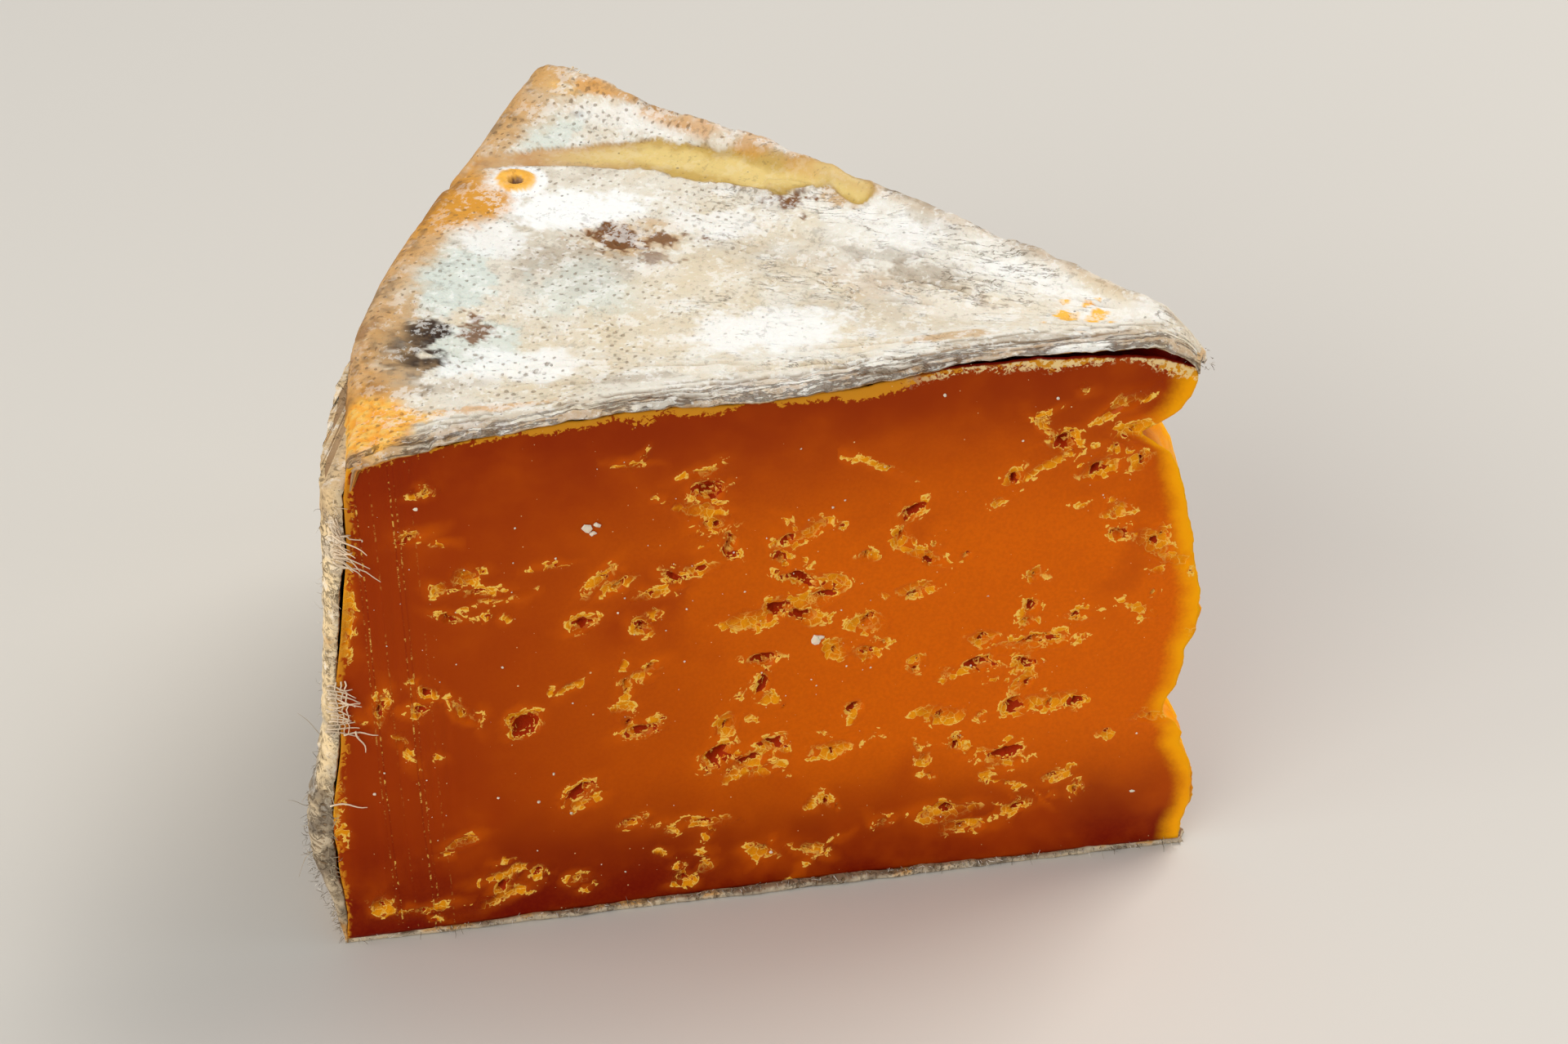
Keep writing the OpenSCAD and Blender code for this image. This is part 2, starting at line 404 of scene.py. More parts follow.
def chanceOf(wire, where, size):
    # one random number from 0 to 1 for every cell of this size
    return wire.make("ShaderNodeSeparateColor", {}, {0: specks(wire, where, size, out=1)}, 0)


def axisOf(wire, vector, index):
    return wire.make("ShaderNodeSeparateXYZ", {}, {0: vector}, index)


def shifted(wire, where, shift, amount):
    # a place moved by a random vector of this strength
    return wire.make("ShaderNodeVectorMath", {"operation": "MULTIPLY_ADD"}, {0: shift, 1: amount, 2: where})


def muslinPricks(wire, weave, turn, pitch, wander, strength, loose):
    # distance to the nearest prick of a square lattice in the cloth's own plane, a little uneven
    scaled = wire.make("ShaderNodeMapping", {},
                       {"Vector": weave, "Rotation": (0, 0, turn), "Scale": (1 / pitch,) * 3})
    drift = wire.make("ShaderNodeTexNoise", {}, {"Vector": scaled, "Scale": wander, "Detail": 2.0}, 1)
    moved = shifted(wire, scaled, drift, (strength, strength, 0.0))
    return wire.make("ShaderNodeTexVoronoi", {"feature": "F1", "voronoi_dimensions": "2D"},
                     {"Vector": moved, "Scale": 1.0, "Randomness": loose})


def rgba(colour):
    return (*[float(c) for c in colour], 1.0)


paste = {
    "frontColumns": 330,
    "backColumns": 150,
    "tipColumns": 7,
    "rimColumns": 20,
    "rows": 188,
    "baseGap": 0.7,
    "topGap": 0.9,
    "rimGap": 1.3,
    "tornDepth": 0.40,
    "slitDepth": 1.0,
    "lip": 0.08,
    # how far the paste stops short of the rim at the front corner, against height
    "gapHeights": (0, 3, 6, 11, 21, 27, 31, 36, 42, 46, 52, 56),
    "gapWidths": (0.3, 1.2, 1.9, 2.7, 2.0, 1.7, 1.4, 1.8, 2.1, 2.4, 2.2, 2.6),
    # how far the broken tip edge stands back from the sharp tip, against height
    "tipHeights": (0.8, 2, 3, 4.5, 6.4, 8, 9.8, 10.9, 12, 13.5, 15, 16.2, 18, 19.5, 21, 24, 26, 28, 31,
                   33.8, 36.4, 39, 42, 44, 45.8, 47.3, 48.8, 49.9, 51.4, 53.3, 55, 57),
    "tipReaches": (1.9, 1.8, 1.4, 1.2, 1.1, 1.2, 1.5, 1.9, 2.4, 2.4, 3.2, 4.2, 4.2,
                   3.3, 3.1, 2.7, 1.8, 1.6, 1.8,
                   2.4, 2.6, 3.0, 3.6, 4.1, 4.7, 5.6, 7.0, 8.1, 5.5, 3.8, 3.4, 3.6),
    # the tip edge stands further back on the hidden face
    "tipTurn": 0.17,
    # the heights that the tip and rim tables are scaled to
    "tipScale": 56.6,
    "gapScale": 55.0,
    # how many of the front tears have smaller ones strewn round them
    "strewnRound": 112,
    "backTears": 120,
    "seed": 41,
    # thickness of the rind seen on the front face, and how far its underside stands above the
    # level top there, against distance from the rim corner
    "bandPlaces": (0, 3, 8, 13, 21, 32, 42, 52, 62, 70, 77, 81),
    "bandDepths": (1.6, 1.4, 1.1, 0.8, 0.6, 0.8, 1.2, 1.0, 0.8, 0.9, 1.0, 1.1),
    "liftPlaces": (0, 4, 8, 13, 18, 23, 28, 33, 38, 43, 48, 53, 58, 63, 68, 73, 77, 80),
    "lifts": (0.6, 1.0, 1.15, 1.0, 0.9, 1.05, 1.1, 0.7, 0.15, 0.0, 0.15,
              0.55, 1.3, 1.3, 1.1, 0.9, 0.4, 0.0),
    # gap that opens under the rind near the tip
    "gapeAlong": (54.0, 59.0, 76.0, 80.0),
}

# Tears in the front face, in millimetres: along from the paste's rim edge, up from the base,
# width, height, turn in degrees, and the share of the tear that is an open slit
frontTears = [
    (34.2, 48.4, 3.4, 2.2, -25, 1.25), (33.6, 50.4, 3.2, 1.0, 15, 0.0), (33.2, 46.2, 4.6, 1.8, -20, 0.0),
    (34.6, 44.4, 3.4, 1.8, 0, 0.2), (36.0, 41.8, 3.6, 1.3, -68, 0.9), (43.4, 42.4, 4.6, 1.7, 35, 0.0),
    (41.4, 41.8, 2.2, 1.2, 25, 0.8), (40.6, 39.4, 3.0, 1.4, -60, 0.6), (42.6, 36.8, 4.6, 1.6, -24, 0.95),
    (45.4, 36.2, 3.6, 2.2, -35, 0.0), (44.8, 34.8, 3.0, 1.6, 15, 0.7), (40.2, 33.8, 3.0, 2.4, 15, 0.75),
    (42.4, 32.6, 4.4, 1.8, -18, 0.7), (37.6, 32.6, 4.6, 2.4, 0, 0.0), (43.0, 34.0, 4.6, 1.8, -10, 0.0),
    (52.6, 43.4, 3.2, 1.6, 52, 0.8), (51.8, 40.6, 1.8, 3.4, -8, 0.2), (54.0, 38.0, 4.8, 1.5, -32, 0.25),
    (53.2, 34.2, 4.4, 1.6, -4, 0.3), (48.8, 30.8, 3.8, 2.2, 0, 0.35), (48.6, 27.4, 3.2, 1.6, -20, 0.3),
    (39.1, 27.8, 3.4, 1.7, 0, 1.0), (39.0, 25.0, 4.2, 1.0, 82, 0.95), (39.2, 23.0, 1.6, 1.2, 0, 0.0),
    (25.6, 38.8, 3.6, 1.5, 25, 0.5), (24.4, 39.8, 3.2, 1.0, 50, 0.0), (31.0, 38.8, 2.8, 1.1, -50, 0.85),
    (33.6, 39.4, 2.6, 1.0, 5, 0.4), (29.0, 37.0, 3.4, 0.9, 15, 0.15), (27.6, 33.6, 2.6, 1.6, -40, 0.5),
    (22.4, 34.6, 2.6, 1.7, 8, 0.75), (12.2, 42.0, 2.0, 1.9, 0, 0.2), (9.9, 40.8, 1.9, 1.4, 0, 0.2),
    (12.6, 40.2, 3.4, 0.8, -8, 0.6), (15.0, 38.9, 3.4, 0.7, 5, 0.0), (10.6, 37.4, 2.8, 0.9, -28, 0.7),
    (7.4, 46.8, 3.4, 1.1, 15, 0.6), (9.3, 52.0, 1.5, 1.0, -20, 0.5), (27.5, 52.0, 2.2, 0.7, -5, 0.0),
    (8.1, 29.4, 2.0, 1.1, -45, 0.4), (7.4, 27.4, 2.4, 1.0, 0, 0.5), (3.9, 28.0, 3.6, 1.3, 84, 0.5),
    (11.4, 26.4, 4.0, 1.1, -58, 0.3), (16.7, 24.0, 3.2, 3.4, 0, 0.85), (5.6, 23.4, 3.4, 0.8, -72, 0.0),
    (26.3, 26.8, 2.6, 1.2, 68, 0.4), (28.6, 28.6, 2.0, 0.9, 25, 0.5), (21.0, 27.6, 1.8, 0.8, 30, 0.4),
    (27.6, 21.2, 3.8, 1.7, 5, 0.75), (26.4, 22.4, 2.0, 1.4, -40, 0.3), (35.5, 20.4, 2.2, 3.2, -20, 0.15),
    (34.6, 16.9, 3.6, 2.0, 42, 0.85), (37.4, 15.7, 5.4, 1.9, 25, 0.6), (39.8, 17.7, 3.0, 1.5, -8, 0.9),
    (38.8, 14.5, 4.0, 1.2, 18, 0.0), (45.4, 16.3, 4.4, 1.7, 10, 0.1), (21.7, 14.8, 3.4, 1.6, 30, 0.85),
    (21.4, 13.5, 2.8, 1.0, 10, 0.0), (47.7, 20.9, 2.2, 1.5, 40, 0.6), (10.5, 10.7, 3.0, 1.5, 10, 0.3),
    (26.3, 10.6, 2.0, 1.1, 10, 0.5), (33.2, 9.2, 5.0, 1.2, -5, 0.35), (29.8, 8.7, 2.2, 0.8, 0, 0.5),
    (13.9, 6.5, 4.0, 1.3, 15, 0.0), (14.2, 4.9, 3.0, 1.7, 60, 0.6), (13.8, 3.4, 4.8, 1.0, 22, 0.0),
    (17.4, 6.2, 2.0, 1.1, 20, 0.5), (6.2, 3.0, 4.6, 1.0, 5, 0.3), (2.4, 4.4, 1.8, 2.6, 0, 0.2),
    (21.2, 4.3, 1.7, 1.0, 0, 0.3), (31.0, 2.7, 2.2, 1.6, -30, 0.5), (38.9, 4.7, 2.6, 1.4, -20, 0.5),
    (33.4, 3.8, 1.4, 1.4, 0, 0.0), (43.2, 4.4, 3.2, 1.3, -30, 0.45), (44.9, 9.8, 1.8, 0.9, -70, 0.6),
    (64.2, 26.8, 7.8, 1.7, 4, 0.5), (59.8, 27.9, 2.8, 1.6, 0, 0.3), (59.4, 24.8, 3.2, 1.5, -5, 0.85),
    (57.0, 24.0, 3.6, 0.8, 10, 0.1), (63.9, 24.6, 2.6, 1.4, -10, 0.8), (63.6, 22.4, 3.6, 1.5, 58, 0.3),
    (66.3, 19.7, 6.2, 1.9, 0, 0.1), (62.8, 19.6, 2.6, 2.0, 20, 0.6), (68.6, 19.1, 2.0, 1.5, 0, 0.7),
    (55.6, 19.4, 4.2, 2.2, 0, 0.15), (62.2, 13.7, 4.2, 1.4, 20, 0.95), (62.0, 12.4, 4.0, 1.4, 10, 0.0),
    (59.2, 14.7, 4.6, 0.4, -14, 0.0), (57.5, 15.2, 1.6, 1.9, 0, 0.5), (54.2, 14.1, 1.4, 1.2, 0, 0.2),
    (56.8, 7.1, 6.6, 2.2, 0, 0.25), (58.0, 5.3, 4.6, 1.7, -5, 0.3), (63.2, 7.2, 3.6, 1.5, 25, 0.45),
    (50.6, 6.8, 1.8, 1.1, 0, 0.0), (66.6, 10.4, 2.4, 1.3, 15, 0.4), (69.1, 8.6, 1.4, 1.8, 0, 0.3),
    (66.3, 49.9, 3.4, 1.9, 15, 0.65), (64.6, 51.6, 2.4, 0.7, -55, 0.0), (61.8, 46.2, 2.0, 2.0, 0, 0.5),
    (65.0, 47.4, 5.4, 0.6, 18, 0.0), (71.4, 53.2, 5.2, 1.2, 34, 0.0), (72.6, 50.2, 3.8, 2.0, 10, 0.2),
    (69.6, 46.4, 4.0, 2.2, 22, 0.45), (73.4, 46.8, 2.6, 2.0, 0, 0.2), (75.2, 37.2, 5.2, 2.4, -42, 0.15),
    (71.9, 38.8, 2.8, 1.6, -35, 0.85), (77.4, 35.0, 2.8, 1.4, -20, 0.0), (71.2, 41.6, 1.6, 1.6, 0, 0.2),
    (74.4, 29.6, 3.0, 0.6, -28, 0.0), (68.2, 29.8, 2.6, 0.9, 12, 0.4), (63.7, 29.8, 1.2, 1.4, 0, 0.5),
    (64.0, 34.8, 1.6, 1.4, 0, 0.2), (75.8, 16.6, 3.8, 1.5, -12, 0.1), (50.0, 48.8, 3.4, 0.5, -25, 0.2),
    (48.4, 39.0, 1.7, 1.4, 0, 0.1), (71.6, 15.0, 1.1, 1.4, 0, 0.3), (53.4, 26.2, 1.4, 0.9, 0, 0.1),
    (1.0, 38.5, 1.9, 6.6, 0, 0.0), (-0.8, 20.0, 0.6, 9.0, 0, 0.0), (19.9, 41.7, 1.8, 0.5, 0, 0.4),
    (26.0, 29.4, 0.8, 0.8, 0, 0.0), (45.6, 28.0, 2.6, 2.2, 0, 0.05), (80.2, 26.0, 2.0, 0.7, -10, 0.0),
]
# The paste's rim edge, as a distance from the sharp tip, and the size of the outlines' wandering
tearEdge = 81.6
wanderSize = 1.7


def strewnTears(count, seed):
    # tears for the hidden face: places and shapes drawn at random, most of them small and level
    draw = np.random.default_rng(seed)
    along = draw.uniform(2, 79, count)
    up = draw.uniform(2, 54, count)
    width = draw.gamma(2.6, 0.9, count) + 0.8
    height = width * draw.uniform(0.25, 0.75, count)
    turn = draw.normal(0, 32, count)
    slit = np.clip(draw.uniform(-0.3, 1.0, count), 0, 1)
    return list(zip(along, up, width, height, turn, slit))


def tearField(along, up, tears, seed):
    # for every point: signed depth into the nearest tear and slit in millimetres, and the
    # tear's own shade; outlines wander with noise, so no tear keeps its round shape
    wanderX = 0.75 * layered(along, up, 0, wanderSize, seed, 4, 0.62)
    wanderY = 0.75 * layered(along, up, 9.0, wanderSize, seed + 3, 4, 0.62)
    torn = np.full(along.shape, -9.0)
    slit = np.full(along.shape, -9.0)
    shade = np.zeros(along.shape)
    for number, (cx, cy, width, height, turn, share) in enumerate(tears):
        reach = 0.7 * max(width, height) + 2.0
        near = np.nonzero((np.abs(along - cx) < reach) & (np.abs(up - cy) < reach))
        if len(near[0]) == 0:
            continue
        dx = along[near] - cx + wanderX[near]
        dy = up[near] - cy + wanderY[near]
        angle = math.radians(turn)
        a = (dx * math.cos(angle) + dy * math.sin(angle)) / (width / 2)
        b = (dy * math.cos(angle) - dx * math.sin(angle)) / (height / 2)
        inside = (1 - np.hypot(a, b)) * min(width, height) / 2
        tall = 0.35 + 0.5 * min(share, 1.0) ** 2
        bend = b - (0.9 - tall) * math.sin(number * 1.7) * 0.5 - 0.3 * (1 - tall) * np.sin(2.2 * a + number)
        gape = (1 - np.hypot(a / max(min(share, 0.85), 0.05), bend / tall)) * min(width, height) * 0.3
        gape = np.where(share > 0.01, gape, -9.0)
        slit[near] = np.maximum(slit[near], gape)
        # one flank of a tear is crisp and lit, the other fades into the cut; the finish paints this shade
        # as light across the tear, and it also scales the torn depth
        side = 0.5 - 0.5 * np.clip(b * math.cos(number * 2.4) + a * math.sin(number * 2.4), -1, 1)
        own = 0.15 + 0.85 * side
        shade[near] = np.where(inside > torn[near], own, shade[near])
        torn[near] = np.maximum(torn[near], inside)
    return torn, slit, shade


def pasteGrid():
    # perimeter by height: front face, blunt tip edge, back face and rim side, one closed row
    # for every level, each point at a share of the ray from the tip edge to the rim
    p = paste
    outward, angle, side = perimeter(p)
    isTip = 1.0 * ((side == 0) & (outward <= 0))
    up = np.linspace(0, 1, p["rows"] + 1)[:, None]
    outward, angle, side, isTip = (np.tile(a, (len(up), 1)) for a in (outward, angle, side, isTip))

    crumbs = layered(3.0 * angle, 0, up * 55, 2.2, p["seed"], 4, 0.6)
    near = np.interp(up * p["tipScale"], p["tipHeights"], p["tipReaches"])
    near = near * (1 + p["tipTurn"] * (1 + angle / halfAngle)) + 0.4 * crumbs
    across = 1 - np.abs(angle) / halfAngle
    corner = np.interp(up * p["gapScale"], p["gapHeights"], p["gapWidths"])
    gap = p["rimGap"] + (corner - p["rimGap"]) * hump(across, 1.0)
    far = rimReach(up, angle) - gap
    reach = near + (far - near) * outward
    inset = faceHollow(1 - outward, up)
    x, y = rayPoint(reach, angle, -side * inset)

    low = p["baseGap"]
    plan = rayPoint(reach, angle)
    high = topHeight(plan[0][-1:], plan[1][-1:]) - p["topGap"]
    lift = np.interp(cut["faceLength"] - reach[-1:], p["liftPlaces"], p["lifts"])
    lift = lift + 0.25 * layered(reach[-1:], 0.0, 0.0, 2.4, 37, 4, 0.65)
    high = np.where(side[-1:] < 0, high + p["topGap"] - 0.35 + lift, high)
    z = low + (high - low) * up

    # tears, worked out on each face from its own distance along and height
    along = tearEdge - reach
    draw = np.random.default_rng(p["seed"] + 9)
    small = []
    for cx, cy, *_ in frontTears[:p["strewnRound"]]:
        # little tears strewn round the larger ones
        for _ in range(2 if cx > 30 else 1):
            offset = draw.normal(0, 1.6, 2)
            size = draw.gamma(2.0, 0.26) + 0.3
            small.append((cx + offset[0], cy + 0.8 * offset[1], size, size * draw.uniform(0.3, 0.9),
                          draw.normal(0, 35), max(0.0, draw.uniform(-0.6, 0.7))))
    faceTears = {-1: frontTears + small, 1: strewnTears(p["backTears"], p["seed"])}
    torn, slit, shade = (np.full(x.shape, v) for v in (-9.0, -9.0, 0.0))
    for which, tears in faceTears.items():
        pick = side == which
        rows, cols = pick.shape[0], int(pick[0].sum())
        fields = tearField(along[pick].reshape(rows, cols), z[pick].reshape(rows, cols),
                           tears, p["seed"] + which)
        for target, field in zip((torn, slit, shade), fields):
            target[pick] = field.ravel()

    # push torn skin and slits in along the face's normal, and lift a fine lip round them
    _, plate = cells(along + 0.4 * layered(along, z, 0, 2.0, 5, 3), z * 1.6, 1.1, p["seed"])
    inTorn = ease(torn, -0.05, 0.35)
    inSlit = ease(slit, 0.0, 0.5)
    depth = p["tornDepth"] * inTorn * shade * (0.35 + 0.9 * plate) + p["slitDepth"] * inSlit
    depth -= p["lip"] * np.exp(-((torn + 0.08) / 0.16) ** 2) * (1 - inSlit)
    drag = 0.05 * layered(along * 2.0, 0, z * 0.05, 1.0, 77, 3) * ease(14 - along, 0, 6)
    swell = 0.12 * layered(along, z, 0, 9.0, 12, 3)
    depth += np.where(side != 0, drag + swell, 0.0)
    edgeFade = np.clip(np.minimum(reach - near, far - reach) / 0.5, 0, 1)
    depth *= np.where(side != 0, np.maximum(edgeFade, 0.15), 0.0)
    normalX = np.sin(halfAngle) * np.abs(side)
    normalY = np.cos(halfAngle) * side
    x = x - depth * normalX
    y = y - depth * normalY
    # the broken tip edge bulges and crumbles
    crumble = isTip * (0.25 * hump(angle / halfAngle, 1.0)
                       + 0.35 * layered(angle * 6, 0, z, 1.1, 91, 3))
    x = x + crumble
    marks = {
        "torn": torn, "slit": slit, "shade": shade,
        "fromTip": reach - near + 1.1 * isTip, "fromRim": far - reach, "fromTop": high - z, "plate": plate,
    }
    marks["facePlace"] = np.stack([along, z, 0 * z], axis=-1)
    place = toFrame(x, y, z)
    # the hidden top is drawn in and sunk, so that it stays below the rind
    sunk = place[-1:] * np.array([0.93, 0.93, 1.0]) - np.array([0.0, 0.0, 3.5])
    place = np.concatenate([place, sunk])
    marks = {key: np.concatenate([value, value[-1:]]) for key, value in marks.items()}
    return place, marks


grid, marks = pasteGrid()
pasteBody = gridMesh("paste", grid, marks)
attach(pasteBody, "root")
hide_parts("wedge")
print("paste", len(pasteBody.data.polygons), "faces")

pasteLook = {
    "deep": linear(158, 51, 0),
    "body": linear(220, 101, 0),
    "warm": linear(224, 102, 0),
    "amber": linear(255, 168, 0),
    "dark": linear(118, 16, 0),
    "torn": linear(240, 152, 6),
    "rim": linear(255, 208, 96),
    "slit": linear(168, 44, 0),
    "crystal": linear(250, 214, 150),
    "rindEdge": linear(226, 150, 34),
    # knife drags: where the sheared stroke crosses height zero, and its strength
    "dragShear": 0.027,
    "drags": ((4.3, 0.9), (3.9, 0.4), (7.4, 0.8), (7.85, 0.5), (5.7, 0.25), (9.2, 0.15)),
}


def pasteFinish():
    # deep orange cut, darker at the rim side (partly its own tone, partly painted shade), with painted
    # shade at the top and foot and a painted amber glow of light through the thin tip edge;
    # torn skin is yellow, lit on one painted flank with painted highlights on its rims; slits are painted
    # dark red as shade inside them
    material, wire, surface = shader("cheddarPaste")
    look = {key: rgba(pasteLook[key]) for key in pasteLook if not key.startswith("drag")}
    where = place(wire)
    fine = grain(wire, where, 0.35, 3, 0.6)
    mottle = grain(wire, where, 6.0, 3, 0.5)
    cloud = grain(wire, where, 18.0, 2, 0.5)
    facePlace = mark(wire, "facePlace", "Vector")
    along = axisOf(wire, facePlace, 0)
    up = axisOf(wire, facePlace, 1)
    torn = mark(wire, "torn")
    slit = mark(wire, "slit")
    shade = mark(wire, "shade")
    fromTip = mark(wire, "fromTip")
    fromTop = mark(wire, "fromTop")
    fromRim = mark(wire, "fromRim")

    # painted light gradient across the face: deep at the rim side, partly the paste's own tone and partly
    # painted shade, brighter and warmer towards the tip
    side = (along + (cloud - 0.5) * 22).between(0, 50)
    colour = side.tint(look["deep"], look["body"])
    warmth = (along + up * 0.12 + (cloud - 0.5) * 20).between(34, 80)
    colour = warmth.tint(colour, look["warm"])
    # painted shade: darker towards the foot
    rise = (up + (mottle - 0.5) * 6).between(0, 18)
    colour = rise.tint(look["dark"], colour)
    # painted shade: darker towards the top, under the rind
    shadeTop = (fromTop + (mottle - 0.5) * 6).between(20, 1) * 0.85
    colour = shadeTop.tint(colour, look["deep"])
    colour = ((cloud - 0.5) * 1.6 + (mottle - 0.5) * 0.6).between(0.05, 0.5).tint(colour, look["deep"])
    # more painted shade just under the rind
    colour = ((fromTop + (mottle - 0.5) * 4).between(12, 0) * 0.42).tint(colour, look["dark"])
    grainy = (fine * 0.7 + mottle * 0.3).between(0.36, 0.64) * 0.2
    colour = grainy.tint(colour, look["deep"])
    # painted light: an amber glow of light through the thin tip edge, weaker on the tip face itself
    glow = (fromTip + (mottle - 0.5) * 2.2 + (fine - 0.5) * 0.6).between(2.6, 0.1)
    colour = glow.tint(colour, look["amber"])
    colour = ((mottle - 0.5) * 0.8 + 0.1).between(0.0, 1.0).tint(colour, look["warm"])

    # shards: cells of broken paste, each torn or not as a whole, so outlines come out angular
    shift = wire.make("ShaderNodeTexNoise", {}, {"Vector": where, "Scale": 1.1 / mm, "Detail": 3.0}, 1)
    bent = shifted(wire, where, shift, (0.8 * mm,) * 3)
    shard = chanceOf(wire, bent, 0.85)
    shardEdge = specks(wire, bent, 0.85, "DISTANCE_TO_EDGE")
    chip = chanceOf(wire, bent, 0.4)
    chipEdge = specks(wire, bent, 0.4, "DISTANCE_TO_EDGE")
    ragged = torn + (shard - 0.5) * 0.9 + (chip - 0.5) * 0.24 + (fine - 0.5) * 0.12
    # painted light: a warm halo round each tear, on its lit flank
    litHalo = (torn + (mottle - 0.5) * 1.2).between(-1.2, 0.3) * shade * 0.5
    colour = litHalo.tint(colour, look["warm"])
    flank = shade.between(0.2, 0.75)
    tornHere = ragged.between(0.0, 0.03)
    patchy = shard * 0.8 + chip * 0.25 + (fine - 0.5) * 0.3
    # yellow torn skin, shown on the painted lit flank of each tear
    tornSkinLitFlank = tornHere * flank * ((shade * 0.6 + patchy - 0.4).between(0.0, 0.85) * 0.9)
    colour = tornSkinLitFlank.tint(colour, look["torn"])
    # painted highlights: pale rims round the tears, on their lit flank
    contour = ragged.between(-0.07, -0.02) * ragged.between(0.13, 0.05)
    edgeHighlights = shardEdge.between(0.06, 0.02) + chipEdge.between(0.04, 0.012) * 0.4
    edgeHighlights = edgeHighlights * ragged.between(-0.1, 0.02) * 0.7
    edgeHighlights = (edgeHighlights + contour).between(0.0, 1.0) * (patchy.between(0.3, 0.7) * 0.7 + 0.3)
    edgeHighlights = edgeHighlights * shade.between(0.15, 0.6)
    colour = (edgeHighlights * 0.85).tint(colour, look["rim"])
    gape = slit - 0.1 + (shard - 0.5) * 0.55 + (chip - 0.5) * 0.3 + (fine - 0.5) * 0.1
    # painted highlight on the lips of the slits
    colour = (gape.between(-0.1, -0.05) * gape.between(0.01, 0.0) * 0.8).tint(colour, look["rim"])
    # painted shade: the inside of each slit is painted dark red
    inside = gape.between(0.0, 0.03)
    colour = inside.tint(colour, look["slit"])

    # knife drags near the rim side: fine dark strokes dotted with pale crumbs
    sheared = along + up * pasteLook["dragShear"] + (cloud - 0.5) * 0.8
    crumbs = grain(wire, where, 0.5, 3, 0.7)
    for spot, strength in pasteLook["drags"]:
        off = wire.maths("ABSOLUTE", sheared - spot)
        stroke = (off + (fine - 0.5) * 0.1).between(0.11, 0.03) * strength
        shown = (mottle * 1.3 + (crumbs - 0.5) * 1.2).between(0.55, 0.75)
        colour = (stroke * 0.35).tint(colour, look["dark"])
        colour = (stroke * shown * crumbs.between(0.52, 0.6) * 0.8).tint(colour, look["rim"])

    # golden dry line under the rind
    flap = (along + (mottle - 0.5) * 8).between(12, 20) * 0.3
    dry = fromTop + (fine - 0.5) * 1.6 + (mottle - 0.5) * 4.6 + (chip - 0.5) * 0.6 - flap
    dry = dry.between(0.42, 0.2)
    dryRim = (fromRim + (chip - 0.5) * 0.8 + up.between(30, 4) * 0.4).between(0.75, 0.35)
    colour = (dry * 0.85).tint(colour, look["rindEdge"])
    late = (along + (mottle - 0.5) * 8).between(50, 56)
    chalky = fromTop + (fine - 0.5) * 1.6 + (chip - 0.5) * 1.1 + (mottle - 0.5) * 3.2
    chalky = late * chalky.between(1.35, 1.1)
    colour = (chalky * (fine * 0.6 + chip * 0.5).between(0.4, 0.54) * 0.85).tint(colour, look["crystal"])
    # painted shade: a dark line just under the rind where it gapes near the tip
    gapShade = late * (fromTop + (fine - 0.5) * 0.3).between(0.4, 0.2)
    colour = gapShade.tint(colour, look["dark"])
    colour = (dryRim * 0.7).tint(colour, look["rindEdge"])

    # fine pale specks of crystal
    speck = 0.0
    for size, share in ((1.5, 0.10), (0.8, 0.16), (2.9, 0.07)):
        dots = specks(wire, where, size)
        chance = chanceOf(wire, where, size)
        speck = speck + (dots - (chance - 0.6) * share).between(0.02, 0.0)
    speck = speck.between(0.0, 1.0)
    colour = (speck * 0.75).tint(colour, look["crystal"])

    relief = (fine - 0.5) * (tornHere * 0.5 + 0.03) + (mottle - 0.5) * 0.35 + speck * 0.25
    relief = relief + tornHere * (patchy * 0.6 - 0.5) - inside * 0.8
    bump = wire.make("ShaderNodeBump", {}, {"Height": relief, "Strength": 0.5, "Distance": 0.4 * mm})
    rough = 0.30 + fine * 0.10 + tornHere * 0.2
    join(wire, surface, Base_Color=colour, Roughness=rough, Normal=bump,
         Subsurface_Weight=0.14, Subsurface_Scale=0.0035, Specular_IOR_Level=0.06)
    surface.inputs["Subsurface Radius"].default_value = (1.0, 0.35, 0.08)
    return material


pasteBody.data.materials.append(pasteFinish())
print("paste finish")


topRind = {
    "rayRows": 216,
    "bendRows": 16,
    "skirtRows": 20,
    "skirtFoot": 46.5,
    "acrossColumns": 236,
    "edgeColumns": 7,
    "innerColumns": 16,
    "overhang": 0.4,
    "cornerPull": 2.4,
    # the patches' places hold on this level and slant with height by so much along x and y
    "patchLevel": 56.0,
    "patchSlant": (-0.41, 1.5),
    # bumps above this height are pressed down, and give by no more than so much
    "lid": 59.2,
    "lidGive": 0.95,
    "seed": 61,
}

rindTones = {
    "white": linear(228, 221, 206),
    "chalk": linear(243, 241, 235),
    "cream": linear(218, 200, 168),
    "grey": linear(176, 160, 138),
    "dark": linear(110, 86, 58),
    "green": linear(210, 214, 202),
    "brown": linear(120, 78, 42),
    "soot": linear(54, 38, 28),
    "gold": linear(212, 146, 48),
    "orange": linear(226, 136, 26),
    "amber": linear(176, 106, 30),
    "olive": linear(192, 158, 82),
    "straw": linear(220, 192, 120),
    "tan": linear(198, 162, 116),
    "yolk": linear(246, 184, 72),
}

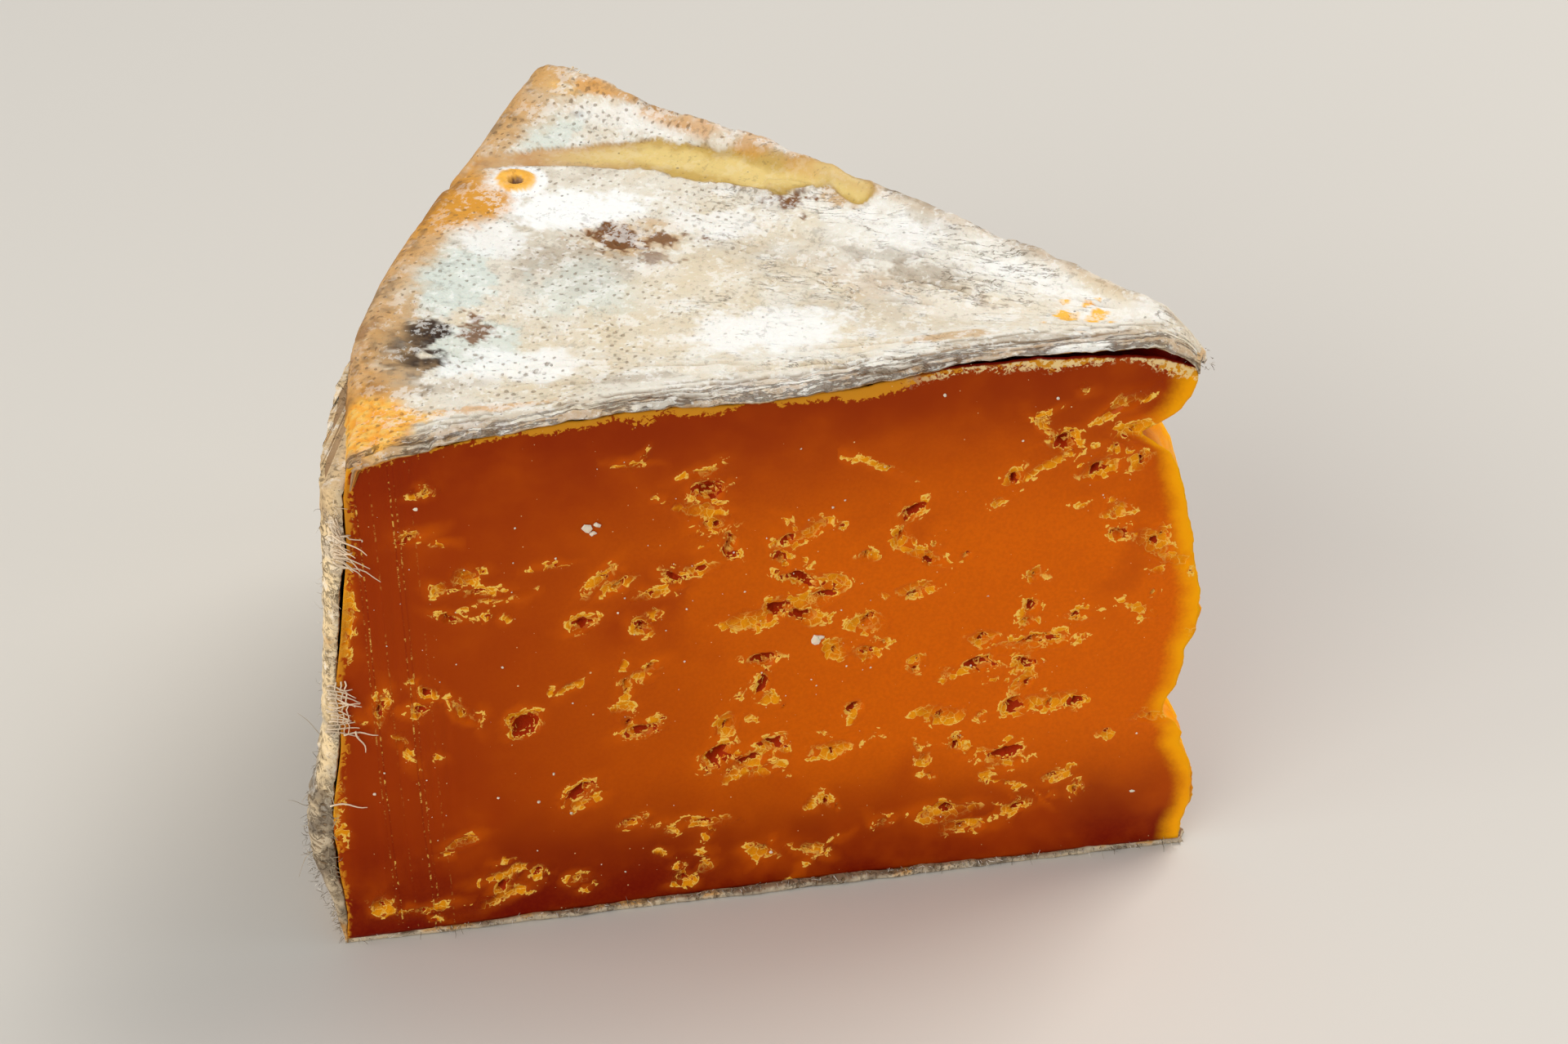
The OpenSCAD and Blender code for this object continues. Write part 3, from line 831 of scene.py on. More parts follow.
# Patches on the top, in the part's own millimetres: x, y, half length, half width, turn,
# tone, strength, softness
topPatches = [
    (-18.4, 1.9, 9.0, 6.0, 10, "grey", 0.75, 0.5), (-2.0, 8.0, 13.0, 5.0, 10, "grey", 0.3, 0.8),
    (10.0, 2.0, 12.0, 5.0, 5, "grey", 0.35, 0.8), (-12.0, -9.0, 14.0, 5.0, 20, "cream", 0.6, 0.8),
    (-30.0, -4.0, 4.6, 6.4, 0, "green", 1.0, 0.1), (-24.4, -13.2, 5.4, 5.0, 30, "green", 0.9, 0.2),
    (-29.8, 22.6, 5.4, 4.4, 20, "green", 0.85, 0.3), (-17.7, -1.5, 6.4, 5.6, 0, "green", 0.6, 0.4),
    (-22.5, 10.4, 7.8, 3.8, 15, "chalk", 1.0, 0.25), (-28.6, 4.4, 4.2, 5.0, 60, "chalk", 0.7, 0.5),
    (-20.4, -15.6, 7.5, 3.6, 20, "chalk", 0.75, 0.6), (-8.5, 11.8, 6.0, 3.2, 10, "chalk", 0.7, 0.5),
    (-7.3, 24.0, 8.0, 1.8, -10, "chalk", 0.8, 0.5), (0.0, -4.6, 9.0, 4.6, 15, "chalk", 0.8, 0.5),
    (15.0, 3.4, 8.0, 2.4, -10, "chalk", 0.7, 0.5), (21.0, 8.6, 7.0, 2.2, -20, "chalk", 0.6, 0.6),
    (27.6, 4.4, 5.0, 3.0, -20, "chalk", 0.55, 0.6), (8.0, 13.4, 6.0, 2.8, -20, "chalk", 0.6, 0.6),
    (-22.0, 26.6, 7.0, 2.4, -12, "chalk", 0.5, 0.6), (-12.0, 3.0, 4.0, 3.0, 0, "chalk", 0.5, 0.6),
    (-15.6, 7.4, 6.2, 3.8, 12, "tan", 0.75, 0.5), (-17.4, 7.2, 3.6, 2.4, 15, "brown", 1.0, 0.1),
    (-13.2, 8.0, 3.6, 1.6, 5, "brown", 0.9, 0.1), (-12.6, 4.4, 3.0, 1.6, 5, "brown", 0.7, 0.1),
    (-31.2, -14.4, 3.0, 4.4, 10, "soot", 0.8, 0.3),
    (-30.2, -12.2, 4.0, 2.4, 20, "soot", 1.0, 0.25), (-29.8, -16.8, 3.0, 3.8, -15, "soot", 1.0, 0.3),
    (-32.6, -16.4, 2.6, 4.0, 0, "soot", 0.8, 0.3), (-25.6, -10.4, 2.2, 2.6, 40, "brown", 0.9, 0.1),
    (-31.4, -21.0, 2.4, 2.4, 0, "soot", 0.6, 0.2),
    (-29.3, -20.4, 3.4, 2.6, 0, "grey", 0.7, 0.6), (-32.6, -8.6, 1.6, 3.0, 0, "tan", 0.7, 0.6),
    (-32.4, 20.2, 1.8, 3.6, 12, "tan", 0.9, 0.4), (2.2, 18.6, 2.4, 3.0, -40, "tan", 0.9, 0.4),
    (-3.4, 16.6, 3.4, 2.2, -10, "brown", 1.0, 0.2), (-31.6, -27.0, 3.8, 3.4, 30, "yolk", 0.95, 0.5),
    (-27.4, -27.0, 4.2, 1.6, 24, "yolk", 0.9, 0.6), (-32.4, 32.6, 5.6, 2.2, -24, "yolk", 0.95, 0.3),
    (-25.0, 30.2, 7.0, 1.0, -24, "gold", 0.8, 0.4), (20.0, 3.0, 14.0, 5.0, -10, "cream", 0.5, 0.6),
    (-9.0, 2.0, 9.0, 5.0, 20, "cream", 0.6, 0.6), (6.0, 6.0, 7.0, 3.0, -20, "tan", 0.3, 0.6),
    (-33.2, 26.6, 1.6, 4.4, 14, "gold", 0.7, 0.5), (-19.6, -22.8, 5.6, 0.9, 24, "gold", 0.55, 0.6),
    (12.2, 7.6, 5.4, 2.3, -10, "grey", 0.75, 0.6), (7.0, 9.8, 4.4, 1.8, 0, "dark", 0.3, 0.8),
    (26.5, 3.8, 3.0, 2.1, -20, "yolk", 1.0, 0.1), (18.0, 4.8, 1.8, 0.9, -30, "brown", 0.5, 0.7),
    (16.8, -2.7, 4.6, 1.1, 22, "tan", 0.8, 0.5), (22.6, -2.6, 7.6, 1.2, 20, "grey", 0.7, 0.7),
    (31.0, -0.2, 5.0, 0.8, 14, "dark", 0.4, 0.7), (37.6, 1.0, 2.0, 2.0, 0, "cream", 0.6, 0.8),
    (-10.0, -15.6, 8.0, 1.2, 22, "grey", 0.6, 0.8), (5.6, -9.6, 6.0, 0.9, 22, "cream", 0.7, 0.8),
    (-24.4, -19.4, 5.0, 1.4, 26, "grey", 0.5, 0.8), (19.9, 12.3, 4.4, 1.2, -26, "grey", 0.5, 0.7),
    (29.0, 7.4, 4.6, 1.0, -26, "cream", 0.7, 0.7), (-32.0, 14.0, 2.6, 2.6, 0, "white", 0.2, 0.5),
]
lensPath = [(-35.4, 14.0, 1.2), (-33.4, 16.7, 1.4), (-26.9, 19.5, 1.7), (-18.3, 21.4, 2.5),
            (-9.7, 20.2, 2.9), (-4.3, 19.4, 2.4), (0.3, 20.4, 1.6), (3.4, 18.2, 1.3)]
crater = (-29.2, 14.1, 2.0, 0.55)
topCracks = [(-26.0, -17.6, -8.0, -11.4), (-14.5, -13.6, 10.9, -8.3), (-9.0, -12.8, 6.0, -8.2),
             (-4.0, -13.2, 14.0, -5.9), (2.0, -7.4, 18.0, -2.6), (8.0, 3.0, 14.5, 3.2),
             (13.0, 8.4, 20.0, 7.0), (10.6, 6.2, 17.2, 5.6), (6.0, 11.8, 12.4, 9.8),
             (21.0, 1.0, 33.0, 1.4), (24.5, 6.2, 31.0, 5.6), (-22.0, -20.4, -10.0, -15.8)]
topFlaps = [(19.9, 12.4, 2.4, 0.9, -24, 0.45), (-3.4, 18.4, 2.6, 1.0, -12, 0.5),
            (24.6, 10.0, 2.6, 0.7, -24, 0.3),
            (2.4, 21.0, 2.4, 0.8, -24, 0.35), (-8.0, 17.4, 3.6, 0.5, -4, 0.35),
            (31.6, 6.6, 2.0, 0.5, -24, 0.3)]


def oval(x, y, cx, cy, long, wide, turn):
    # 1 in the middle of a turned oval, 0 on its edge, negative outside
    angle = math.radians(turn)
    a = ((x - cx) * math.cos(angle) + (y - cy) * math.sin(angle)) / long
    b = ((y - cy) * math.cos(angle) - (x - cx) * math.sin(angle)) / wide
    return 1 - np.hypot(a, b)


def strokeGap(x, y, x0, y0, x1, y1):
    # distance to a straight stroke and the share along it
    dx, dy = x1 - x0, y1 - y0
    t = np.clip(((x - x0) * dx + (y - y0) * dy) / (dx * dx + dy * dy), 0, 1)
    return np.hypot(x - x0 - t * dx, y - y0 - t * dy), t


def lensDepth(x, y):
    # depth inside the waxy band, in shares of its half width, and the share along it
    best, share = np.full(x.shape, -9.0), np.zeros(x.shape)
    steps = len(lensPath) - 1
    for k in range(steps):
        (x0, y0, w0), (x1, y1, w1) = lensPath[k], lensPath[k + 1]
        gap, t = strokeGap(x, y, x0, y0, x1, y1)
        inside = 1 - gap / (w0 + (w1 - w0) * t)
        share = np.where(inside > best, (k + t) / steps, share)
        best = np.maximum(best, inside)
    return best, share


def topPaint(x, y, z, shoulder):
    # white and grey mould, stained in patches, golden and brown where it wraps the shoulder
    tone = rindTones
    seed = topRind["seed"]
    broad = layered(x, y, z, 9.0, seed, 5, 0.6)
    fine = layered(x, y, z, 2.4, seed + 5, 5, 0.65)
    colour = np.broadcast_to(tone["white"], x.shape + (3,)) * 1.0
    colour = mixTint(colour, tone["cream"], ease(broad + 0.5 * fine, -0.1, 0.45) * 0.75)
    colour = mixTint(colour, tone["grey"], ease(0.7 * fine - broad, 0.1, 0.6) * 0.6)
    # duller towards the rim, cleaner towards the tip
    colour = mixTint(colour, tone["cream"] * 0.86, ease(6 - x + 10 * broad, 0, 26) * 0.26)
    colour = mixTint(colour, tone["chalk"], ease(x - 8 + 12 * fine, 0, 14) * 0.36)
    rag = (0.45 * layered(x, y, 0, 3.4, seed + 9, 5, 0.62)
           + 0.55 * layered(x, y, 0, 1.3, seed + 11, 4, 0.75))
    spots = 1.1 * layered(x, y, 0, 1.0, seed + 13, 3, 0.7) - 0.25
    for cx, cy, long, wide, turn, key, strength, soft in topPatches:
        inside = oval(x, y, cx, cy, long, wide, turn) + rag * (0.5 + soft)
        if key in ("brown", "soot") or soft < 0.11:
            inside = inside + spots * {"soot": 0.45, "green": 0.0, "yolk": 1.5}.get(key, 1.1)
        colour = mixTint(colour, tone[key], ease(inside, -0.02, 0.12 + 0.7 * soft) * strength)
    colour = mixTint(colour, tone["chalk"], ease(fine - 0.4 * broad, 0.3, 0.55) * 0.6)
    # the waxy band: brown at its rim end, olive yellow along, straw at the edges
    depth, share = lensDepth(x, y)
    depth = depth + 0.30 * rag
    waxy = np.broadcast_to(tone["tan"], x.shape + (3,))
    waxy = mixTint(waxy, tone["amber"], ease(fine, -0.2, 0.5) * 0.5)
    waxy = mixTint(waxy, tone["olive"], ease(share, 0.25, 0.5))
    waxy = mixTint(waxy, tone["straw"], ease(depth + 0.5 * fine, 0.25, 0.75) * ease(share, 0.2, 0.45))
    waxy = mixTint(waxy, tone["brown"], ease(0.35 - depth + 0.3 * fine, 0.1, 0.4) * 0.5)
    colour = mixTint(colour, waxy, ease(depth, -0.02, 0.14))
    # round spot with a raised orange ring
    ring = np.hypot(x - crater[0], y - crater[1])
    colour = mixTint(colour, tone["chalk"], ease(crater[2] + 1.1 - ring + 0.5 * rag, -0.2, 0.3))
    colour = mixTint(colour, tone["yolk"], ease(crater[2] - ring + 0.6 * rag, -0.1, 0.2))
    colour = mixTint(colour, tone["gold"], ease(0.3 - np.abs(ring - 1.3) + 0.4 * rag, -0.1, 0.3) * 0.5)
    colour = mixTint(colour, tone["brown"], ease(crater[3] + 0.2 - ring + 0.2 * rag, -0.1, 0.15))
    # shoulder and skirt over the rim
    rubbed = ease(shoulder + 0.35 * rag + 0.3 * broad, 0.42, 0.75)
    colour = mixTint(colour, tone["tan"], rubbed * 0.85)
    golden = ease(shoulder + 0.3 * rag + 0.5 * hump(y - 9.0, 7.0), 0.6, 0.95)
    golden = golden * (0.35 + 0.65 * hump(y - 9.0, 15.0) + 0.5 * hump(y + 24.0, 10.0))
    colour = mixTint(colour, tone["gold"], np.clip(golden, 0, 1))
    stain = ease(fine + 0.5 * broad + 0.9 * shoulder, 0.75, 1.3)
    colour = mixTint(colour, tone["brown"], stain * 0.6)
    colour = mixTint(colour, tone["soot"], ease(-fine + 0.6 * shoulder, 0.55, 0.9) * 0.45)
    return np.clip(colour, 0.0, 1.0)


def topRelief(x, y, z):
    # wrinkles, cracks along the front edge, the sunk waxy band, the ring and lifted flaps
    seed = topRind["seed"] + 31
    rise = 0.22 * layered(x, y, z, 11.0, seed, 3) + 0.16 * layered(x, y, z, 3.2, seed + 2, 4, 0.6)
    veins = np.abs(layered(x * 0.7, y * 1.5, z, 2.6, seed + 4, 4, 0.6))
    rise -= 0.30 * ease(0.10 - veins, 0.0, 0.1) * ease(layered(x, y, z, 8.0, seed + 6, 2), -0.1, 0.3)
    depth, _ = lensDepth(x, y)
    inside = ease(depth + 0.25 * layered(x, y, z, 2.4, seed, 3), -0.05, 0.25)
    rise = rise * (1 - 0.6 * inside) - 0.28 * inside
    ring = np.hypot(x - crater[0], y - crater[1])
    rise += 0.42 * np.exp(-((ring - 1.35) / 0.55) ** 2) - 0.9 * ease(crater[3] - ring, -0.15, 0.25)
    for x0, y0, x1, y1 in topCracks:
        wander = 0.9 * layered(x, y, z, 4.0, seed + 8, 4, 0.55)
        gap, t = strokeGap(x + 0.2 * wander, y + wander, x0, y0, x1, y1)
        openness = ease(hump(t - 0.5, 0.56) + 0.4 * layered(x, y, z, 1.6, seed + 9, 2), 0.1, 0.6)
        rise -= 0.42 * np.exp(-(gap / 0.2) ** 2) * openness
        rise += 0.16 * np.exp(-((gap - 0.5) / 0.35) ** 2) * openness
    for cx, cy, long, wide, turn, lift in topFlaps:
        rag = 0.3 * layered(x, y, z, 1.2, seed + 12, 3)
        rise += lift * ease(oval(x, y, cx, cy, long, wide, turn) + rag, 0.0, 0.22)
    return rise


def topRindGrid():
    # rows run from the tip over the shoulder and down the rim; each row loops over the top,
    # round the back edge, back underneath and up round the front edge
    t = topRind
    ray = np.linspace(0, 1, t["rayRows"])
    bend = np.sin(np.linspace(0, math.pi / 2, t["bendRows"] + 1))[1:]
    skirt = np.linspace(0, 1, t["skirtRows"] + 1)[1:]
    outer = np.linspace(-1, 1, t["acrossColumns"])
    turn = np.linspace(0, math.pi / 2, t["edgeColumns"] + 1)[1:]
    inner = np.linspace(1, -1, t["innerColumns"])
    # for every column: place across, share of the full thickness down, and edge roll
    across = np.concatenate([outer, 1 + 0 * turn, inner, -1 + 0 * turn])[None, :]
    down = np.concatenate([0 * outer, np.sin(turn) * 0.85, 1 + 0 * inner, np.sin(turn[::-1]) * 0.85])
    down = down[None, :]
    lean = np.concatenate([0 * outer, np.cos(turn), 0 * inner, np.cos(turn[::-1])])[None, :]
    angle = across * halfAngle
    shoulderWide = cut["shoulderWidth"]
    pull = t["cornerPull"] * hump((angle + halfAngle) * 80.0, 24.0)
    far = rimReach(1.0, angle) - pull
    start = tipReach(1.0) + 0.5
    body = start + (far - shoulderWide - start) * ray[:, None]
    wrap = far - shoulderWide + shoulderWide * bend[:, None]
    reach = np.concatenate([body, wrap, far + 0 * skirt[:, None]])
    height = np.zeros(reach.shape)
    x, y = rayPoint(reach + pull * np.minimum(1.0, reach / far) ** 6, angle)
    bodyTop = topHeight(x, y)
    height[:] = bodyTop
    lastTop = bodyTop[t["rayRows"] + t["bendRows"] - 1]
    fall = (lastTop - t["skirtFoot"]) * skirt[:, None]
    first = t["rayRows"] + t["bendRows"]
    height[first:] = lastTop - fall
    up = np.clip(height[first:] / cut["wheelHeight"], 0, 1)
    reach[first:] = rimReach(up, angle) - pull * (1 - 0.6 * ease(fall, 0, 3)) - 0.5 * ease(fall, 1.0, 3.0)
    reach[first:] -= 1.6 * ease(fall, 0.5, 3.0) * ease(np.abs(across), 0.93, 1.0)
    # which way the surface faces: up on the top, turning outwards over the shoulder
    wrapTurn = np.concatenate([0 * ray, np.arcsin(bend) * 0.93, 1.5 + 0 * skirt])[:, None]
    faceUp, faceOut = np.cos(wrapTurn) + 0 * angle, np.sin(wrapTurn) + 0 * angle
    shoulder = np.concatenate([0 * ray + 0.5 * ease(ray, 0.93, 1.0), 0.5 + 0.5 * bend,
                               1 + 0.6 * skirt])[:, None]
    shoulder = shoulder + 0 * angle

    x, y = rayPoint(reach, angle)
    px, py = x + tipX, y + tipY
    # the patches are placed on the level plane of the shoulder and slanted on to the crown
    raised = height - t["patchLevel"]
    fx, fy = px + t["patchSlant"][0] * raised, py + t["patchSlant"][1] * raised
    fx, fy = np.where(shoulder < 0.9, fx, px), np.where(shoulder < 0.9, fy, py)
    rise = topRelief(fx, fy, height)
    edgeGap = (1 - np.abs(across)) * reach * math.sin(halfAngle)
    # flaking layers close to the front edge, a curled hem along the back edge
    layers = np.zeros(x.shape)
    for offset, deep in ((0.55, 0.25), (1.15, 0.28), (1.9, 0.22), (2.9, 0.15)):
        wander = 0.8 * layered(reach, 0, offset * 7, 7.0, 27, 5, 0.55)
        shown = ease(layered(reach, 0, offset * 9, 8.0, 28, 4, 0.6), -0.15, 0.1)
        layers += deep * shown * np.exp(-((edgeGap + wander - offset) / 0.2) ** 2)
    layers = layers * (across < 0)
    hem = (1.3 * hump(edgeGap - 0.7, 2.2) + 1.1 * hump(edgeGap, 11.0)) * ease(reach, 3, 12) * (across > 0)
    hem = (hem * (0.9 + 0.4 * layered(reach, 0, 0, 5.0, 29, 3))
           * (1 - 0.85 * ease(reach, 66, 80)))
    hem = hem * (1 - 0.35 * hump(reach - 22, 14.0))
    # the rind stands higher along the front edge than the level top, and gapes near the tip
    fromCorner = cut["faceLength"] - reach
    band = np.interp(fromCorner, paste["bandPlaces"], paste["bandDepths"])
    frontLift = np.interp(fromCorner, paste["liftPlaces"], paste["lifts"]) + 0.75 * band
    late = paste["gapeAlong"]
    frontLift += 0.25 * ease(fromCorner, late[0], late[1]) * (1 - ease(fromCorner, late[2], late[3]))
    frontLift += 0.25 * layered(reach, 0, 0, 2.2, 39, 4, 0.6)
    frontLift = frontLift * hump(edgeGap, 9.0) * (across < 0)
    frontLift[first:] = 0
    knobs, _ = cells(px, py, 0.9, 71)
    crusty = hump(np.hypot(px + 31.0, py + 26.5), 9.0)
    rise = rise - layers + hem + 0.45 * crusty * (0.55 - knobs)
    # near the two cut faces the rind thickens or thins as seen from the side
    backBand = 1.05 + 0.35 * layered(reach, 0, 0, 6.0, 5, 3)
    thick = np.where(across < 0, band, backBand)
    thick = thick + 0.28 * layered(reach, across * 3, 0, 1.8, 7, 5, 0.68)
    thick = np.maximum(thick, 0.45) * (0.6 + 0.4 * ease(reach - start, 0, 3))
    thick[first:] = 0.5
    rollWide = 0.7 + 1.8 * hump(fromCorner - 2, 14.0) * (across < 0)
    rollDeep = 0.55 * thick
    share = np.clip(edgeGap / rollWide, 0, 1)
    roll = rollDeep * (1 - np.sqrt(np.clip(1 - (1 - share) ** 2, 0, 1)))
    # ragged lip hanging over the face
    lip = (t["overhang"] * (0.3 + layered(reach, 4 + across, 0, 2.6, 21, 5, 0.65))
           + 0.3 * hump(fromCorner - 3, 12) * (across < 0))
    lip = lip * ease(np.abs(across), 0.9, 1.0)
    crumb = 0.22 * layered(reach, down * 1.1, across * 5, 0.8, 33, 3, 0.7) * (lean > 0)
    push = (lip + 0.35 * lean + crumb) * np.sign(across) * (np.abs(across) > 0.9)
    push[first:] = -0.9 * ease(fall, 0.0, 2.0) * np.sign(across) * (np.abs(across) > 0.99)
    outside = (down < 0.99)
    depthHere = np.where(outside, roll + down * (thick - rollDeep), thick) - rise * (1 - 0.8 * down)
    nx, ny = np.cos(angle), -np.sin(angle)
    x = x + depthHere * faceOut * nx + push * math.sin(halfAngle)
    y = y + depthHere * faceOut * ny + push * math.cos(halfAngle)
    lump = 0.9 * hump(reach - start - 4.0, 6.0) * (0.3 + 0.35 * (across + 1))
    z = height - depthHere * faceUp + frontLift + lump
    # the highest bumps are pressed down, so that they stay close to the cut shape
    over = np.maximum(z - t["lid"], 0) / t["lidGive"]
    z = np.minimum(z, t["lid"]) + t["lidGive"] * np.tanh(over)
    # the nose of the rind is rounded over the tip edge
    nose = np.clip((reach - start) / 2.2, 0, 1)
    z = z - 1.3 * (1 - np.sqrt(1 - (1 - nose) ** 2)) * outside
    fromTip = np.clip((reach - start) / 14.0, 0, 1)
    place = toFrame(x, y, z)
    colour = topPaint(fx, fy, height, shoulder)
    under = ease(down, 0.25, 0.8)
    tone = rindTones
    colour = mixTint(colour, tone["dark"], np.clip(layers / 0.2, 0, 1) * 0.8)
    hem = hem * hump(edgeGap, 4.5)
    hemPaint = ease(hem, 0.35, 1.2) * ease(layered(reach, across * 30, 0, 3.0, 57, 4), -0.4, 0.2)
    colour = mixTint(colour, tone["gold"], hemPaint * 0.7 * ease(reach, 34, 60))
    colour = mixTint(colour, tone["tan"], ease(hem, 0.8, 1.6) * 0.3)
    crust = ease(crusty + 0.25 * layered(px, py, 0, 2.2, 58, 4, 0.6), 0.3, 0.6)
    colour = mixTint(colour, tone["yolk"], crust * 0.9)
    colour = mixTint(colour, tone["orange"], crust * ease(knobs, 0.25, 0.6) * 0.6)
    colour = mixTint(colour, tone["straw"], crust * ease(0.3 - knobs, -0.1, 0.2) * 0.5)
    side = mixTint(np.broadcast_to(tone["gold"], colour.shape), tone["dark"],
                   ease(layered(reach, across * 9, down * 1.2, 2.0, 51, 4, 0.6), -0.2, 0.4) * 0.7)
    side = mixTint(side, tone["orange"], hump(fromCorner - 3, 16.0) * (across < 0) * 0.8)
    colour = mixTint(colour, side, under)
    nosePaint = ease(1 - fromTip + 0.5 * layered(px, py, 0, 3.0, 54, 4, 0.6), 0.45, 0.95)
    colour = mixTint(colour, tone["cream"], nosePaint * 0.6)
    dirt = layered(reach, across * 4, 0, 2.2, 52, 4, 0.6)
    dirt = ease(1.1 - edgeGap, -0.2, 0.6) * ease(dirt, -0.1, 0.4)
    colour = mixTint(colour, tone["dark"], dirt * 0.45 * (1 - under))
    weave = np.stack([px + 0.6 * layered(px, py, 0, 14.0, 71, 2), py + 0 * px, 0 * px], axis=-1)
    weave[first:, :, 0] = px[first:] - fall
    waxyDepth, _ = lensDepth(fx, fy)
    inRing = ease(2.2 - np.hypot(fx - crater[0], fy - crater[1]), 0, 0.4)
    marks = {"weavePlace": weave, "waxy": ease(waxyDepth, -0.05, 0.2) + inRing,
             "shoulder": shoulder, "under": under + 0 * shoulder}
    # coordinates that run with the front edge, for its long cracks
    marks["lipPlace"] = np.stack([reach * 0.11, edgeGap * 0.9, 0.9 * down + 0 * reach], axis=-1)
    marks["lip"] = np.where(across < 0, ease(3.0 - edgeGap, 0, 2.8), 0.4 * ease(2.0 - edgeGap, 0, 1.6))
    marks["lip"][first:] = 0
    return place, marks, {"tint": colour}


grid, marks, colours = topRindGrid()
topBody = gridMesh("topRind", grid, marks, colours)
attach(topBody, "root")
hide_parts("wedge")
print("topRind", len(topBody.data.polygons), "faces")

rindLook = {
    "shade": linear(92, 78, 60),
    "pale": linear(245, 242, 234),
    "bark": linear(170, 130, 82),
    "crack": linear(92, 56, 24),
    "pore": linear(116, 90, 60),
    "weavePitch": 1.05,
    "weaveTurn": 0.42,
    "strandTurn": -0.12,
}


def rindFinish():
    # the painted tone, broken up by fine mould grain, the pricks of the muslin and dark specks
    material, wire, surface = shader("mouldyRind")
    where = place(wire)
    tint = mark(wire, "tint", "Color")
    waxy = mark(wire, "waxy")
    shoulder = mark(wire, "shoulder")
    under = mark(wire, "under")
    weave = mark(wire, "weavePlace", "Vector")
    names = ("pale", "shade", "pore", "bark", "crack")
    pale, shade, pore, bark, crack = (rgba(rindLook[name]) for name in names)
    fine = grain(wire, where, 0.5, 4, 0.65)
    mid = grain(wire, where, 2.2, 5, 0.6)
    broad = grain(wire, where, 7.0, 3, 0.55)
    dust = (mid + (fine - 0.5) * 0.7).between(0.53, 0.62) * (1.0 - waxy.between(0, 1) * 0.8)
    colour = (dust * (1.0 - under) * (1.2 - shoulder).between(0, 0.8) * 0.45).tint(tint, pale)
    grime = (fine * 0.6 + mid * 0.5).between(0.49, 0.43) * 0.26
    colour = grime.tint(colour, shade)
    pricks = muslinPricks(wire, weave, rindLook["weaveTurn"], rindLook["weavePitch"], 0.35, 0.9, 0.38)
    placeX = axisOf(wire, weave, 0)
    patch = (broad + (mid - 0.5) * 0.6).between(0.42, 0.54) * (placeX + (broad - 0.5) * 20).between(4, -8)
    # short fibres and cracks running with the cut edges
    strand = wire.make("ShaderNodeMapping", {},
                       {"Vector": weave, "Rotation": (0, 0, rindLook["strandTurn"]),
                        "Scale": (0.16, 0.8, 1.0)})
    strands = wire.make("ShaderNodeTexNoise", {},
                        {"Vector": strand, "Scale": 1.0, "Detail": 5.0, "Roughness": 0.62})
    towardTip = (placeX + (broad - 0.5) * 30).between(-12, 4)
    thin = strands.ridge(0.5, 0.011, 0.003) * (broad + (mid - 0.5) * 0.5).between(0.5, 0.6)
    thin = thin * (1.0 - waxy.between(0, 1)) * (1.0 - under) * towardTip
    colour = (thin * 0.55).tint(colour, pore)
    bare = (1.0 - waxy.between(0, 1) * 0.9) * (1.0 - under)
    dots = (pricks + (fine - 0.5) * 0.35 + (mid - 0.5) * 0.5).between(0.18, 0.08) * patch * bare
    colour = (dots * 0.56).tint(colour, pore)
    # long cracks and flaking layers that run with the front edge
    lipPlace = mark(wire, "lipPlace", "Vector")
    lip = mark(wire, "lip")
    flakes = wire.make("ShaderNodeTexNoise", {},
                       {"Vector": lipPlace, "Scale": 1.0, "Detail": 6.0, "Roughness": 0.66})
    cracks = flakes.ridge(0.5, 0.03, 0.008) * (lip + (mid - 0.5)).between(0.35, 0.8)
    colour = ((flakes + (fine - 0.5) * 0.3).between(0.54, 0.4) * lip * 0.6).tint(colour, bark)
    colour = (cracks * 0.62).tint(colour, crack)
    pits = specks(wire, where, 0.8)
    chance = chanceOf(wire, where, 0.8)
    speck = (pits - (chance - 0.55) * 0.3).between(0.08, 0.02) * mid.between(0.45, 0.62)
    colour = (speck * 0.65).tint(colour, shade)
    relief = fine * 0.45 + mid * 0.5 - dots * 0.3 - speck * 0.3 - thin * 0.5 - cracks * 0.8
    relief = relief * (1.0 - waxy.between(0, 1) * 0.6)
    bump = wire.make("ShaderNodeBump", {}, {"Height": relief, "Strength": 0.75, "Distance": 0.42 * mm})
    rough = 0.86 - waxy.between(0, 1) * 0.42 + (fine - 0.5) * 0.1
    join(wire, surface, Base_Color=colour, Roughness=rough, Normal=bump, Specular_IOR_Level=0.25,
         Subsurface_Weight=0.05, Subsurface_Scale=0.001)
    return material


topBody.data.materials.append(rindFinish())
print("rind finish")


rimCloth = {
    "levels": 176,
    "acrossColumns": 170,
    "endColumns": 12,
    "innerColumns": 30,
    "top": 52.6,
    "foot": 0.15,
    "thick": 0.55,
    "curlDeep": 3.0,
    "seed": 83,
    # how far the cloth's curled end reaches in over the face at each height, and how far
    # round the curl it stops, in degrees
    "heights": (0, 3, 6, 12, 16, 22, 27, 31, 36, 42, 46, 49, 52.6),
    "curlIn": (0.3, 1.2, 1.9, 2.7, 2.6, 2.0, 1.7, 1.4, 1.8, 2.1, 2.4, 2.3, 2.3),
    "curlStop": (2, 2, 2, 4, 8, 9, 1, 2, 10, 11, 3, 7, 3),
}


def clothRelief(arc, z):
    # folds, wrinkles and the puckers of the muslin, in millimetres outward
    seed = rimCloth["seed"]
    rise = 0.35 * layered(arc, 0, z * 0.5, 12.0, seed, 3)
    rise += 0.30 * layered(arc, 0, z * 1.2, 3.0, seed + 2, 5, 0.65)
    fold = np.abs(layered(arc * 0.6, 0, z * 1.3, 5.0, seed + 4, 4, 0.55))
    rise += 0.30 * np.exp(-(fold / 0.06) ** 2) * ease(layered(arc, 0, z, 9.0, seed + 6, 2), -0.2, 0.3)
    rise += 0.10 * layered(arc, 0, z, 0.9, seed + 8, 3, 0.7)
    return rise


